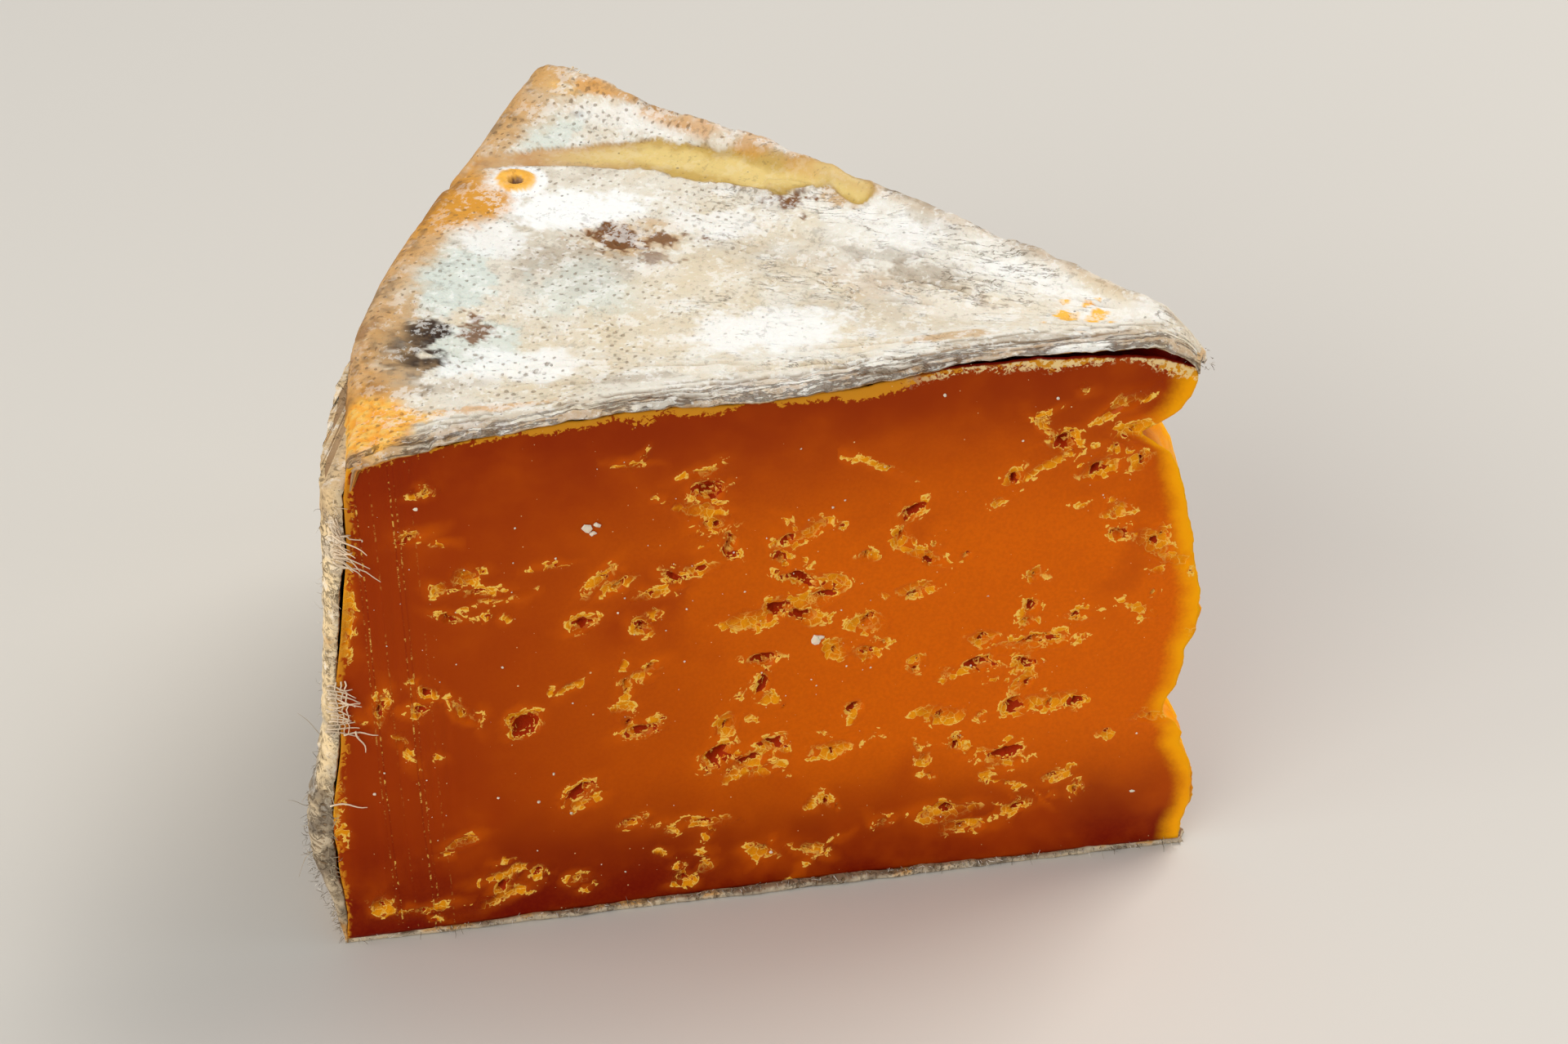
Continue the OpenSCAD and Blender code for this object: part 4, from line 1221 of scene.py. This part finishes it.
def clothPaint(arc, z):
    # beige muslin with white and grey mould, brown low down, blackish near the foot's corners
    tone = rindTones
    seed = rimCloth["seed"]
    broad = layered(arc, 0, z, 10.0, seed + 20, 5, 0.6)
    fine = layered(arc, 0, z, 2.0, seed + 21, 5, 0.65)
    colour = np.broadcast_to(linear(242, 213, 164), arc.shape + (3,)) * 1.0
    colour = mixTint(colour, tone["white"], ease(broad + 0.6 * fine, 0.0, 0.45) * 0.6)
    colour = mixTint(colour, tone["tan"], ease(-broad + 0.5 * fine, 0.15, 0.5) * 0.65)
    colour = mixTint(colour, tone["grey"], ease(fine - 0.2 * broad, 0.18, 0.5) * 0.5)
    colour = mixTint(colour, tone["gold"], ease(layered(arc, 0, z, 6.0, seed + 22, 4), 0.32, 0.6) * 0.5)
    low = ease(15 + 8 * hump(arc + 35.0, 25.0) - z + 6 * broad + 4 * fine, 0, 8)
    colour = mixTint(colour, tone["grey"], low * 0.7)
    colour = mixTint(colour, tone["soot"], low * ease(fine + 0.3 * broad, -0.2, 0.15) * 0.62)
    mottled = ease(layered(arc, 0, z, 1.5, seed + 25, 4, 0.7), 0.02, 0.35)
    colour = mixTint(colour, tone["dark"], mottled * 0.4)
    foot = ease(3.6 - z + 1.6 * fine, 0, 2.4)
    colour = mixTint(colour, tone["gold"], foot * 0.6)
    worn = ease(z - 44 + 4 * broad + 3 * fine, 0, 6)
    colour = mixTint(colour, tone["tan"], worn * 0.35)
    return colour


def rimClothGrid():
    # every level is a closed loop: the outside from the front curl to the back curl, then
    # back along the inside; the end loops close top and foot
    c = rimCloth
    z = np.linspace(c["foot"], c["top"], c["levels"])[:, None]
    lift = np.clip(z / cut["wheelHeight"], 0, 1)
    curlIn = np.interp(z, c["heights"], c["curlIn"])
    stop = np.radians(np.interp(z, c["heights"], c["curlStop"]))
    stop = stop + 0.05 * layered(z, 0, 0, 1.4, 3, 4)
    backIn = 1.6 + 0.7 * layered(z, 0, 0, 7.0, 9, 3)
    backStop = 0.15 + 0.25 * np.abs(layered(z, 0, 0, 5.0, 10, 3))
    share = np.linspace(0, 1, c["endColumns"])[None, :]
    frontTurn = stop + (math.pi / 2 - stop) * share
    backTurn = (math.pi / 2) + (backStop - math.pi / 2) * share
    middle = np.linspace(0, 1, c["acrossColumns"] + 2)[1:-1][None, :]
    size = cut["faceLength"]
    frontSide = c["curlDeep"] * (1 - np.cos(frontTurn))
    frontInset = curlIn * (1 - np.sin(frontTurn))
    backSide = c["curlDeep"] * (1 - np.cos(backTurn))
    backInset = backIn * (1 - np.sin(backTurn))
    edge = c["curlDeep"] / size
    span = 2 * halfAngle - 2 * edge
    angle = np.concatenate([-halfAngle + frontSide / size, -halfAngle + edge + span * middle + 0 * z,
                            halfAngle - backSide / size], axis=1)
    inset = np.concatenate([frontInset, 0 * middle + 0 * z, backInset], axis=1)
    nearEnd = np.concatenate([1 - share + 0 * z, 0 * middle + 0 * z, share + 0 * z], axis=1)
    reach = rimReach(lift, angle) - inset
    arc = angle * size
    rise = clothRelief(arc, z)
    tuck = ease(z, 0.0, 1.2)
    reach = reach + (rise * 0.8 + 0.05) * tuck * (0.4 + 0.6 * (1 - nearEnd))
    # the same outline, drawn in by the cloth's thickness, for the inside
    back = np.linspace(angle.shape[1] - 1, 0, c["innerColumns"]).astype(int)
    backArc = arc[:, back]
    thick = c["thick"] * (0.8 + 0.4 * layered(backArc, 0, z, 3.0, 5, 2))
    innerSide = angle[:, back] * (1 - 0.5 * thick / size / halfAngle * nearEnd[:, back])
    innerReach = reach[:, back] - thick * (0.35 + 0.65 * (1 - nearEnd[:, back]))
    outX, outY = rayPoint(reach, angle)
    # ragged frayed lip where the cloth was cut: only the end columns wander over the face
    stray = 0.28 * layered(z * 1.6, 0, 0, 0.9, 44, 4, 0.7) * nearEnd ** 3
    outX = outX + stray * math.cos(halfAngle)
    inX, inY = rayPoint(innerReach, innerSide)
    x = np.concatenate([outX, inX], axis=1)
    y = np.concatenate([outY, inY], axis=1)
    level = z + 0 * x
    allArc = np.concatenate([arc, backArc], axis=1)
    rag = 0.5 * layered(allArc, 0, 0, 3.0, 47, 4, 0.65)
    level = level + rag * ease(z, c["top"] - 4.0, c["top"])
    under = np.concatenate([0 * arc, 1 + 0 * backArc], axis=1)
    end = np.concatenate([nearEnd, nearEnd[:, back]], axis=1)
    colour = clothPaint(allArc, level)
    colour = mixTint(colour, rindTones["brown"], under * 0.7)
    lipFade = ease(end, 0.7, 1.0) * (1 - under)
    colour = mixTint(colour, rindTones["cream"], lipFade * 0.5 * ease(level, 14, 20))
    arcPlace = np.concatenate([arc - np.sign(arc) * inset * 1.2, backArc], axis=1)
    weave = np.stack([arcPlace, level, 0 * level], axis=-1)
    marks = {"weavePlace": weave, "waxy": 0 * level, "shoulder": 0 * level + 1.0, "under": under}
    return toFrame(x, y, level), marks, {"tint": colour}


grid, marks, colours = rimClothGrid()
clothBody = gridMesh("rimCloth", grid, marks, colours)
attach(clothBody, "root")
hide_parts("wedge")
print("rimCloth", len(clothBody.data.polygons), "faces")

clothLook = {
    "gap": linear(124, 94, 60),
    "shade": linear(86, 66, 44),
    "pale": linear(248, 244, 234),
    "pitch": 0.8,
}


def clothFinish():
    # muslin: dark pricks between its threads, painted shade along its creases, pitted and dusted with mould
    material, wire, surface = shader("muslin")
    look = clothLook
    where = place(wire)
    tint = mark(wire, "tint", "Color")
    under = mark(wire, "under")
    weave = mark(wire, "weavePlace", "Vector")
    fine = grain(wire, where, 0.45, 4, 0.65)
    mid = grain(wire, where, 2.0, 5, 0.62)
    broad = grain(wire, where, 6.0, 3, 0.55)
    pricks = muslinPricks(wire, weave, 0.0, look["pitch"], 0.4, 1.1, 0.36)
    shows = broad.between(0.36, 0.6) * (1.0 - under)
    dots = (pricks + (fine - 0.5) * 0.3).between(0.24, 0.1) * shows
    height = axisOf(wire, weave, 1)
    dust = (mid + (fine - 0.5) * 0.6).between(0.5, 0.7) * 0.5 * (1.0 - under)
    dust = dust * (height + mid * 6).between(14, 30)
    colour = dust.tint(tint, rgba(look["pale"]))
    colour = ((fine * 0.6 + mid * 0.5).between(0.5, 0.42) * 0.6).tint(colour, rgba(look["shade"]))
    pits = (specks(wire, where, 0.55) + (fine - 0.5) * 0.5).between(0.2, 0.1) * mid.between(0.38, 0.55)
    colour = (pits * 0.85 * (1.0 - under)).tint(colour, rgba(look["gap"]))
    # painted shade: the creases are darkened in colour as well as bumped
    shadedCrease = mid.ridge(0.5, 0.03, 0.008) * broad.between(0.45, 0.6)
    colour = (shadedCrease * 0.6 * (1.0 - under)).tint(colour, rgba(look["shade"]))
    colour = (dots * 0.6).tint(colour, rgba(look["gap"]))
    relief = fine * 0.4 + mid * 0.4 - dots * 0.5 - shadedCrease * 0.5
    bump = wire.make("ShaderNodeBump", {}, {"Height": relief, "Strength": 0.8, "Distance": 0.45 * mm})
    join(wire, surface, Base_Color=colour, Roughness=0.9, Normal=bump, Specular_IOR_Level=0.2)
    return material


clothBody.data.materials.append(clothFinish())
print("cloth finish")

baseRind = {
    "frontColumns": 300,
    "backColumns": 150,
    "tipColumns": 5,
    "rimColumns": 60,
    "high": 0.95,
    "reach": 0.45,
    "seed": 97,
}


def baseRindGrid():
    # a closed plate: flat underneath, its edge bulging raggedly past the paste's foot
    b = baseRind
    outward, angle, side = (row[None, :] for row in perimeter(b))
    near = tipReach(0.0) - 0.35
    far = rimReach(0.0, angle) - 0.1
    reach = near + (far - near) * outward
    isRim = (outward >= 1) * (side == 0)
    # profile from the middle of the flat underside out to the edge, up and back in on top
    out = np.array([-6.0, -1.6, -0.5, 0.1, 0.55, 0.8, 0.6, 0.1, -0.8, -6.0])[:, None]
    rise = np.array([0.0, 0.0, 0.0, 0.04, 0.2, 0.48, 0.78, 0.98, 0.95, 0.9])[:, None]
    edge = b["reach"] * (0.75 + 0.9 * layered(reach, angle * 30, 0, 3.2, b["seed"], 5, 0.65))
    edge = np.clip(edge, 0.05, 1.0) * (1 - 0.7 * isRim)
    high = b["high"] * (0.75 + 0.5 * layered(reach, angle * 30, 0, 5.0, b["seed"] + 4, 4, 0.6))
    push = np.where(out > 0, out * edge, out) - 0.15
    x, y = rayPoint(reach, angle)
    moveX = np.where(side != 0, math.sin(halfAngle) * np.abs(side), -np.cos(angle))
    moveY = np.where(side != 0, math.cos(halfAngle) * side, np.sin(angle))
    tipShare = np.clip(1 - (reach - near) / 3.0, 0, 1) * (side != 0)
    moveX = moveX + tipShare * 0.6
    isTip = (outward <= 0) * (side == 0)
    moveX = np.where(isTip, 1.0, moveX)
    moveY = np.where(isTip, np.sin(angle), moveY)
    pull = np.where(push < 0, push * np.clip(reach / 12, 0.1, 1), push)
    x, y = x + pull * moveX, y + pull * moveY
    # nothing stands out past the rim
    size = np.hypot(x, y)
    inside = rimReach(0.0, np.clip(np.arctan2(y, -x), -halfAngle, halfAngle)) - 0.1
    shrink = np.minimum(1.0, inside / np.maximum(size, 0.01))
    x, y = x * shrink, y * shrink
    rough = layered(reach, angle * 30, rise * 3, 1.1, b["seed"] + 7, 4, 0.65)
    z = rise * high + 0.10 * (rise > 0.1) * rough
    z = np.maximum(z, 0.0)
    z = np.where(rise <= 0, 0.0, z)
    tone = rindTones
    fine = layered(reach, angle * 40, z * 2, 2.4, b["seed"] + 9, 5, 0.65)
    colour = np.broadcast_to(tone["cream"], z.shape + (3,)) * 1.0
    colour = mixTint(colour, tone["grey"], ease(fine, -0.15, 0.25) * 0.7)
    colour = mixTint(colour, tone["gold"], ease(-fine, 0.02, 0.3) * ease(rise, 0.3, 0.9) * 0.8)
    colour = mixTint(colour, tone["brown"], ease(rise + 0.3 * fine, 0.75, 0.95) * 0.75)
    colour = mixTint(colour, tone["soot"], ease(fine, 0.28, 0.5) * 0.6)
    place = toFrame(x, y, z)
    weave = place * np.array([1.0, 1.0, 0.0])
    marks = {"weavePlace": weave, "waxy": 0 * z, "shoulder": 1 + 0 * z, "under": 0 * z}
    return place, marks, {"tint": colour}


grid, marks, colours = baseRindGrid()
baseBody = gridMesh("baseRind", grid, marks, colours)
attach(baseBody, "root")
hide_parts("wedge")
baseBody.data.materials.append(clothBody.data.materials[0])
print("baseRind", len(baseBody.data.polygons), "faces")


def tubes(name, paths, radii, tones, sides=5):
    # one mesh of many tapering closed tubes; every path is an array of points along the fibre
    points, quads, triangles, colours = [], [], [], []
    first = 0
    turn = np.linspace(0, 2 * math.pi, sides + 1)[:-1]
    for path, radius, tone in zip(paths, radii, tones):
        count = len(path)
        run = np.gradient(path, axis=0)
        run /= np.linalg.norm(run, axis=1, keepdims=True) + 1e-9
        helper = np.where(np.abs(run[:, 2:3]) < 0.8, [[0.0, 0.0, 1.0]], [[1.0, 0.0, 0.0]])
        side = np.cross(run, helper)
        side /= np.linalg.norm(side, axis=1, keepdims=True)
        other = np.cross(run, side)
        thin = radius * (1 - 0.55 * np.linspace(0, 1, count) ** 2)[:, None, None]
        ring = (path[:, None, :] + thin * (side[:, None, :] * np.cos(turn)[None, :, None]
                                           + other[:, None, :] * np.sin(turn)[None, :, None]))
        points.append(ring.reshape(-1, 3))
        points.append(np.stack([path[0], path[-1] + run[-1] * radius * 0.6]))
        index = first + np.arange(count * sides).reshape(count, sides)
        after = np.roll(index, -1, axis=1)
        quads.append(np.stack([index[:-1], after[:-1], after[1:], index[1:]], axis=-1).reshape(-1, 4))
        base, tip = first + count * sides, first + count * sides + 1
        triangles.append(np.stack([after[0], index[0], np.full(sides, base)], axis=-1))
        triangles.append(np.stack([index[-1], after[-1], np.full(sides, tip)], axis=-1))
        colours.append(np.broadcast_to(tone, (count * sides + 2, 3)))
        first += count * sides + 2
    return buildMesh(name, np.concatenate(points), np.concatenate(quads), np.concatenate(triangles),
                     None, {"tint": np.concatenate(colours)})


def onFace(along, up, out=0.0, side=-1):
    # a point on a cut face, given like the tears, and lifted off it by a little
    share = np.clip(up / topRind["patchLevel"], 0, 1)
    reach = tearEdge - along
    inset = faceHollow(along / cut["faceLength"], share)
    x, y = rayPoint(reach, side * halfAngle, -side * (inset - out))
    return np.array([x + tipX, y + tipY, up])


def onRim(angle, up, out=0.0):
    x, y = rayPoint(rimReach(up / cut["wheelHeight"], angle) + out, angle)
    return np.array([x + tipX, y + tipY, up])


faceOut = np.array([math.sin(halfAngle), -math.cos(halfAngle), 0.0])
faceRight = np.array([math.cos(halfAngle), math.sin(halfAngle), 0.0])
upward = np.array([0.0, 0.0, 1.0])

frayThreads = {
    "comb": 15,
    "combUp": (26.2, 31.4),
    "combLong": (1.6, 3.0),
    "tuft": 13,
    "tuftUp": (45.0, 48.4),
    "tuftLong": (1.8, 3.3),
    "shortFrays": 190,
    "backFrays": 90,
    "hemFrays": 90,
    "strays": 14,
    "seed": 5,
}


def fibre(start, heading, long, sag, steps, draw, curl=0.25):
    # a path that starts along its heading, sags and curls at random
    t = np.linspace(0, 1, steps)[:, None]
    bend = draw.normal(0, curl, 3) * long
    wave = draw.normal(0, 0.05, 3) * long
    return (start + heading * long * t + bend * t ** 2 - upward * sag * long * t ** 2
            + wave * np.sin(t * draw.uniform(4, 9)))


def frayPaths():
    f = frayThreads
    draw = np.random.default_rng(f["seed"])
    paths, radii, tones = [], [], []
    pale, cream, grey = linear(238, 214, 182), linear(226, 204, 170), linear(176, 160, 136)

    def add(path, radius, tone):
        paths.append(path)
        radii.append(radius)
        tones.append(tone * draw.uniform(0.8, 1.08))

    def pasteEdge(up):
        # where the paste's rim edge shows at each height, along from its own mean place
        return float(np.interp(up, (2, 20, 33, 52), (-1.5, -1.0, 0.0, 1.8))) - 0.3

    # the comb of cut weft threads lying over the paste
    for k in range(f["comb"]):
        up = f["combUp"][1] + (f["combUp"][0] - f["combUp"][1]) * k / (f["comb"] - 1)
        start = onFace(pasteEdge(up) - 0.4 + draw.normal(0, 0.15), up, 0.15)
        heading = faceRight + faceOut * draw.uniform(0.02, 0.16) + upward * draw.normal(-0.06, 0.06)
        add(fibre(start, heading, draw.uniform(*f["combLong"]), 0.12, 7, draw, 0.12), 0.085, pale)
    # cross threads of the comb and one long end hanging below it
    for along in (-0.2, 0.3, 0.7):
        ups = np.linspace(f["combUp"][1] + 0.5, f["combUp"][0] - 0.4, 14)
        path = np.array([onFace(along + 0.12 * math.sin(u * 5 + along), u, 0.26) for u in ups])
        add(path, 0.08, pale)
    add(fibre(onFace(1.3, 26.0, 0.3), faceRight * 0.35 - upward, 2.6, 0.1, 8, draw, 0.05), 0.09, pale)
    add(fibre(onFace(0.2, 25.7, 0.3), faceRight, 3.2, 0.06, 8, draw, 0.05), 0.09, pale)
    # the tuft higher up
    for _ in range(f["tuft"]):
        up = draw.uniform(*f["tuftUp"])
        start = onFace(0.6 + draw.normal(0, 0.15), up, 0.25)
        heading = faceRight + upward * draw.uniform(-0.75, 0.15) + faceOut * draw.uniform(0.02, 0.25)
        add(fibre(start, heading, draw.uniform(*f["tuftLong"]), 0.2, 8, draw, 0.2), 0.085, pale)
    for _ in range(10):
        start = onFace(0.9 + draw.normal(0, 0.2), draw.uniform(48, 50.4), 0.2)
        heading = faceRight * 0.3 - upward + faceOut * draw.uniform(0.0, 0.2)
        add(fibre(start, heading, draw.uniform(1.0, 2.0), 0.1, 6, draw, 0.12), 0.08, pale)
    # single thread low down
    add(fibre(onFace(-1.6, 17.4, 0.2), faceRight - upward * 0.12, 3.4, 0.02, 9, draw, 0.06), 0.09, pale)
    # short frays all along the cut edge of the cloth, front and back
    for _ in range(f["shortFrays"]):
        up = draw.uniform(1.5, 52)
        start = onFace(pasteEdge(up) - 0.3 + draw.normal(0, 0.2), up, 0.0)
        heading = faceRight * draw.uniform(0.1, 1.0) + upward * draw.normal(0, 0.9)
        heading = heading + faceOut * draw.uniform(0.0, 0.4)
        path = fibre(start, heading, draw.uniform(0.25, 0.75), 0.1, 5, draw)
        add(path, 0.04, cream * (0.55 + 0.45 * (up > 18)))
    for _ in range(f["backFrays"]):
        up = draw.uniform(1.5, 52)
        start = onFace(0.2 + draw.normal(0, 0.3), up, 0.0, 1)
        away = np.array([math.sin(halfAngle), math.cos(halfAngle), 0.0])
        heading = np.array([math.cos(halfAngle), -math.sin(halfAngle), 0.0]) * draw.uniform(0.1, 1.0)
        heading = heading + upward * draw.normal(0, 0.7) + away * draw.uniform(0.0, 0.4)
        add(fibre(start, heading, draw.uniform(0.3, 0.9), 0.15, 5, draw), 0.04, cream)
    # comb threads standing along the hem of the back edge
    for _ in range(f["hemFrays"]):
        reach = draw.uniform(36, 78)
        x, y = rayPoint(np.array([reach]), halfAngle)
        level = float(topHeight(x, y)[0])
        start = np.array([x[0] + tipX, y[0] + tipY, level + 0.7])
        heading = np.array([-0.3, -0.9, 0.35]) + draw.normal(0, 0.25, 3)
        add(fibre(start, heading, draw.uniform(0.7, 1.7), 0.35, 5, draw, 0.1), 0.06, cream)
    # stray fibres round the rim's lower front corner
    for _ in range(f["strays"]):
        angle = -halfAngle + abs(draw.normal(0.02, 0.05))
        start = onRim(angle, draw.uniform(2, 22), -0.1)
        heading = np.array([-0.5, draw.normal(0, 0.6), draw.normal(0, 0.8)])
        add(fibre(start, heading, draw.uniform(0.8, 2.6), 0.2, 7, draw, 0.35), 0.035, grey)
    return paths, radii, tones


body = tubes("frayThreads", *frayPaths())
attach(body, "root")
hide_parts("wedge")
print("frayThreads", len(body.data.polygons), "faces")


def plainFinish(name, rough, subsurface=0.0):
    # one tone per fibre or grain, taken from its own colour layer
    material, wire, surface = shader(name)
    join(wire, surface, Base_Color=mark(wire, "tint", "Color"), Roughness=rough,
         Specular_IOR_Level=0.25, Subsurface_Weight=subsurface, Subsurface_Scale=0.0008)
    return material


threadMaterial = plainFinish("thread", 0.85)
body.data.materials.append(threadMaterial)

mouldFuzz = {"rim": 500, "corner": 200, "foot": 420, "tip": 60, "edge": 150, "seed": 15}


def fuzzPaths():
    # very fine short fibres of mould, thickest at the foot's corner and the tip of the rind
    f = mouldFuzz
    draw = np.random.default_rng(f["seed"])
    paths, radii, tones = [], [], []
    shades = [linear(196, 188, 174), linear(150, 138, 120), linear(228, 220, 206), linear(122, 108, 88)]

    def add(start, heading, long):
        paths.append(fibre(np.asarray(start), heading / np.linalg.norm(heading), long, 0.1, 4, draw, 0.35))
        radii.append(draw.uniform(0.02, 0.04))
        tones.append(shades[draw.integers(len(shades))] * draw.uniform(0.7, 1.1))

    for _ in range(f["rim"]):
        angle = draw.uniform(-halfAngle, halfAngle)
        add(onRim(angle, draw.uniform(0.5, 51), 0.05),
            np.array([-math.cos(angle), math.sin(angle), 0]) + draw.normal(0, 0.5, 3),
            draw.uniform(0.25, 0.7))
    for _ in range(f["corner"]):
        angle = -halfAngle + abs(draw.normal(0, 0.03))
        add(onRim(angle, abs(draw.normal(4, 7)) + 0.3, 0.0),
            np.array([-0.7, -0.6, 0]) + draw.normal(0, 0.5, 3), draw.uniform(0.25, 0.7))
    for _ in range(f["foot"]):
        along = draw.uniform(0, 80)
        start = onFace(along, 0.75 + draw.normal(0, 0.15), 0.35)
        add(start, faceOut + upward * draw.uniform(-0.2, 0.9) + draw.normal(0, 0.4, 3),
            draw.uniform(0.2, 0.7))
    for _ in range(f["tip"]):
        reach = 2.2 + abs(draw.normal(0, 2.5))
        angle = draw.uniform(-halfAngle, halfAngle)
        x, y = rayPoint(np.array([reach]), angle)
        level = float(topHeight(x, y)[0]) - draw.uniform(0.0, 1.0)
        add((x[0] + tipX, y[0] + tipY, level), np.array([0.7, 0, 0.4]) + draw.normal(0, 0.5, 3),
            draw.uniform(0.15, 0.4))
    for _ in range(f["edge"]):
        reach = draw.uniform(4, 80)
        x, y = rayPoint(np.array([reach]), halfAngle)
        level = float(topHeight(x, y)[0]) - draw.uniform(0.2, 0.8)
        start = (x[0] + tipX, y[0] + tipY, level)
        add(start, np.array([math.sin(halfAngle), math.cos(halfAngle), 0.1]) + draw.normal(0, 0.5, 3),
            draw.uniform(0.25, 0.7))
    return paths, radii, tones


body = tubes("mouldFuzz", *fuzzPaths(), sides=4)
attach(body, "root")
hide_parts("wedge")
body.data.materials.append(threadMaterial)
print("mouldFuzz", len(body.data.polygons), "faces")


def grains(name, places, sizes, facings, tones, seed):
    # many small rough lumps: a ball of three rings and two poles each, pushed about at random
    draw = np.random.default_rng(seed)
    steps = 6
    ringTurn = np.linspace(0, 2 * math.pi, steps + 1)[:-1]
    levels = np.array([-0.62, 0.0, 0.62])
    unit = [np.stack([np.cos(ringTurn + 0.5 * k) * math.sqrt(1 - z * z),
                      np.sin(ringTurn + 0.5 * k) * math.sqrt(1 - z * z), z + 0 * ringTurn], axis=-1)
            for k, z in enumerate(levels)]
    unit = np.concatenate(unit + [np.array([[0, 0, -1.0], [0, 0, 1.0]])])
    index = np.arange(3 * steps).reshape(3, steps)
    after = np.roll(index, -1, axis=1)
    quad = np.stack([index[:-1], after[:-1], after[1:], index[1:]], axis=-1).reshape(-1, 4)
    low = np.stack([after[0], index[0], np.full(steps, 3 * steps)], axis=-1)
    high = np.stack([index[-1], after[-1], np.full(steps, 3 * steps + 1)], axis=-1)
    triangle = np.concatenate([low, high])
    count, each = len(places), len(unit)
    body = unit[None] * draw.uniform(0.65, 1.25, (count, each, 1))
    body = body * np.asarray(sizes)[:, None, :]
    facings = np.asarray(facings)
    side = np.cross(facings, np.array([0.0, 0.0, 1.0]) + 0.01)
    side /= np.linalg.norm(side, axis=1, keepdims=True)
    other = np.cross(facings, side)
    spin = draw.uniform(0, 2 * math.pi, count)[:, None]
    first = side * np.cos(spin) + other * np.sin(spin)
    second = other * np.cos(spin) - side * np.sin(spin)
    points = (np.asarray(places)[:, None, :] + body[..., 0:1] * first[:, None, :]
              + body[..., 1:2] * second[:, None, :] + body[..., 2:3] * facings[:, None, :])
    shift = (np.arange(count) * each)[:, None, None]
    colours = np.repeat(np.asarray(tones), each, axis=0)
    return buildMesh(name, points.reshape(-1, 3), (quad[None] + shift).reshape(-1, 4),
                     (triangle[None] + shift).reshape(-1, 3), None, {"tint": colours}, smooth=False)


crystals = {
    # along, up, size
    "seen": ((23.2, 45.6, 0.55), (24.0, 45.9, 0.4), (23.6, 45.0, 0.35),
             (43.9, 29.4, 0.6), (44.4, 29.7, 0.4),
             (74.7, 7.4, 0.3), (8.1, 50.0, 0.26), (62.5, 50.3, 0.26), (65.5, 54.6, 0.2), (55.2, 56.2, 0.2)),
    "fineCount": 240,
    "seed": 25,
}


def crystalBody():
    draw = np.random.default_rng(crystals["seed"])
    places, sizes, facings, tones = [], [], [], []
    pale = linear(246, 226, 200)
    for along, up, size in crystals["seen"]:
        places.append(onFace(along, up, 0.02))
        sizes.append((size, size * 0.75, size * 0.35))
        facings.append(faceOut)
        tones.append(pale * draw.uniform(0.85, 1.05))
    for _ in range(crystals["fineCount"]):
        side = draw.choice([-1, 1])
        size = abs(draw.normal(0, 0.05)) + 0.05
        places.append(onFace(draw.uniform(2, 77), draw.uniform(2, 54), 0.0, side))
        sizes.append((size, size, size * 0.6))
        facings.append(faceOut * np.array([1.0, -side, 1.0]))
        tones.append(pale * draw.uniform(0.7, 1.0))
    return grains("crystals", places, sizes, facings, tones, crystals["seed"])


body = crystalBody()
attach(body, "root")
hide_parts("wedge")
body.data.materials.append(plainFinish("crystalGrain", 0.45, 0.2))
print("crystals", len(body.data.polygons), "faces")


studio = {
    "lens": 93.75,
    "sensor": 36.0,
    "cameraPlace": (75.3, -299.4, 263.7),
    "cameraAim": (-9.4, 40.2, 0.0),
    "floorColour": linear(206, 200, 190),
    "worldColour": linear(222, 230, 240),
    "worldStrength": 0.46,
    "viewTransform": "Standard",
    "floorHalf": 3.0,
    "lightAim": (0.0, 0.0, 0.03),
    # place, width, strength and colour
    "lights": {
        "keyLight": ((0.25, 0.35, 0.65), 0.35, 3.6, (1.0, 0.98, 0.95)),
        "frontLight": ((-0.25, -0.75, 0.55), 0.6, 4.0, (1.0, 0.98, 0.96)),
        "fillLight": ((-0.6, -0.3, 0.3), 0.45, 1.7, (1.0, 0.97, 0.93)),
        "edgeLight": ((0.6, 0.1, 0.12), 0.2, 0.6, (1.0, 0.96, 0.9)),
    },
}


def areaLight(name, place, aim, width, strength, colour):
    light = bpy.data.lights.new(name, "AREA")
    light.energy = strength
    light.size = width
    light.color = colour
    holder = bpy.data.objects.new(name, light)
    bpy.context.scene.collection.objects.link(holder)
    holder.location = place
    holder.rotation_euler = (Vector(aim) - Vector(place)).to_track_quat("-Z", "Y").to_euler()


def studioSetting():
    s = studio
    scene = bpy.context.scene
    lens = bpy.data.cameras.new("camera")
    lens.lens = s["lens"]
    lens.sensor_width = s["sensor"]
    lens.clip_start = 0.01
    lens.clip_end = 20.0
    camera = bpy.data.objects.new("camera", lens)
    scene.collection.objects.link(camera)
    camera.location = Vector(s["cameraPlace"]) * mm
    camera.rotation_mode = "QUATERNION"
    aim = Vector(s["cameraAim"]) * mm - camera.location
    camera.rotation_quaternion = aim.to_track_quat("-Z", "Y")
    scene.camera = camera
    scene.view_settings.view_transform = s["viewTransform"]

    half = s["floorHalf"]
    points = [(-half, -half, 0.0), (half, -half, 0.0), (half, half, 0.0), (-half, half, 0.0)]
    mesh = bpy.data.meshes.new("floor")
    mesh.from_pydata(points, [], [(0, 1, 2, 3)])
    floor = bpy.data.objects.new("floor", mesh)
    scene.collection.objects.link(floor)
    material, wire, surface = shader("paleFloor")
    join(wire, surface, Base_Color=rgba(s["floorColour"]), Roughness=0.6)
    mesh.materials.append(material)

    world = bpy.data.worlds.new("world")
    scene.world = world
    world.use_nodes = True
    background = world.node_tree.nodes["Background"]
    background.inputs["Color"].default_value = rgba(s["worldColour"])
    background.inputs["Strength"].default_value = s["worldStrength"]
    for name, (place, width, strength, colour) in s["lights"].items():
        areaLight(name, place, s["lightAim"], width, strength, colour)


studioSetting()
print("studio")
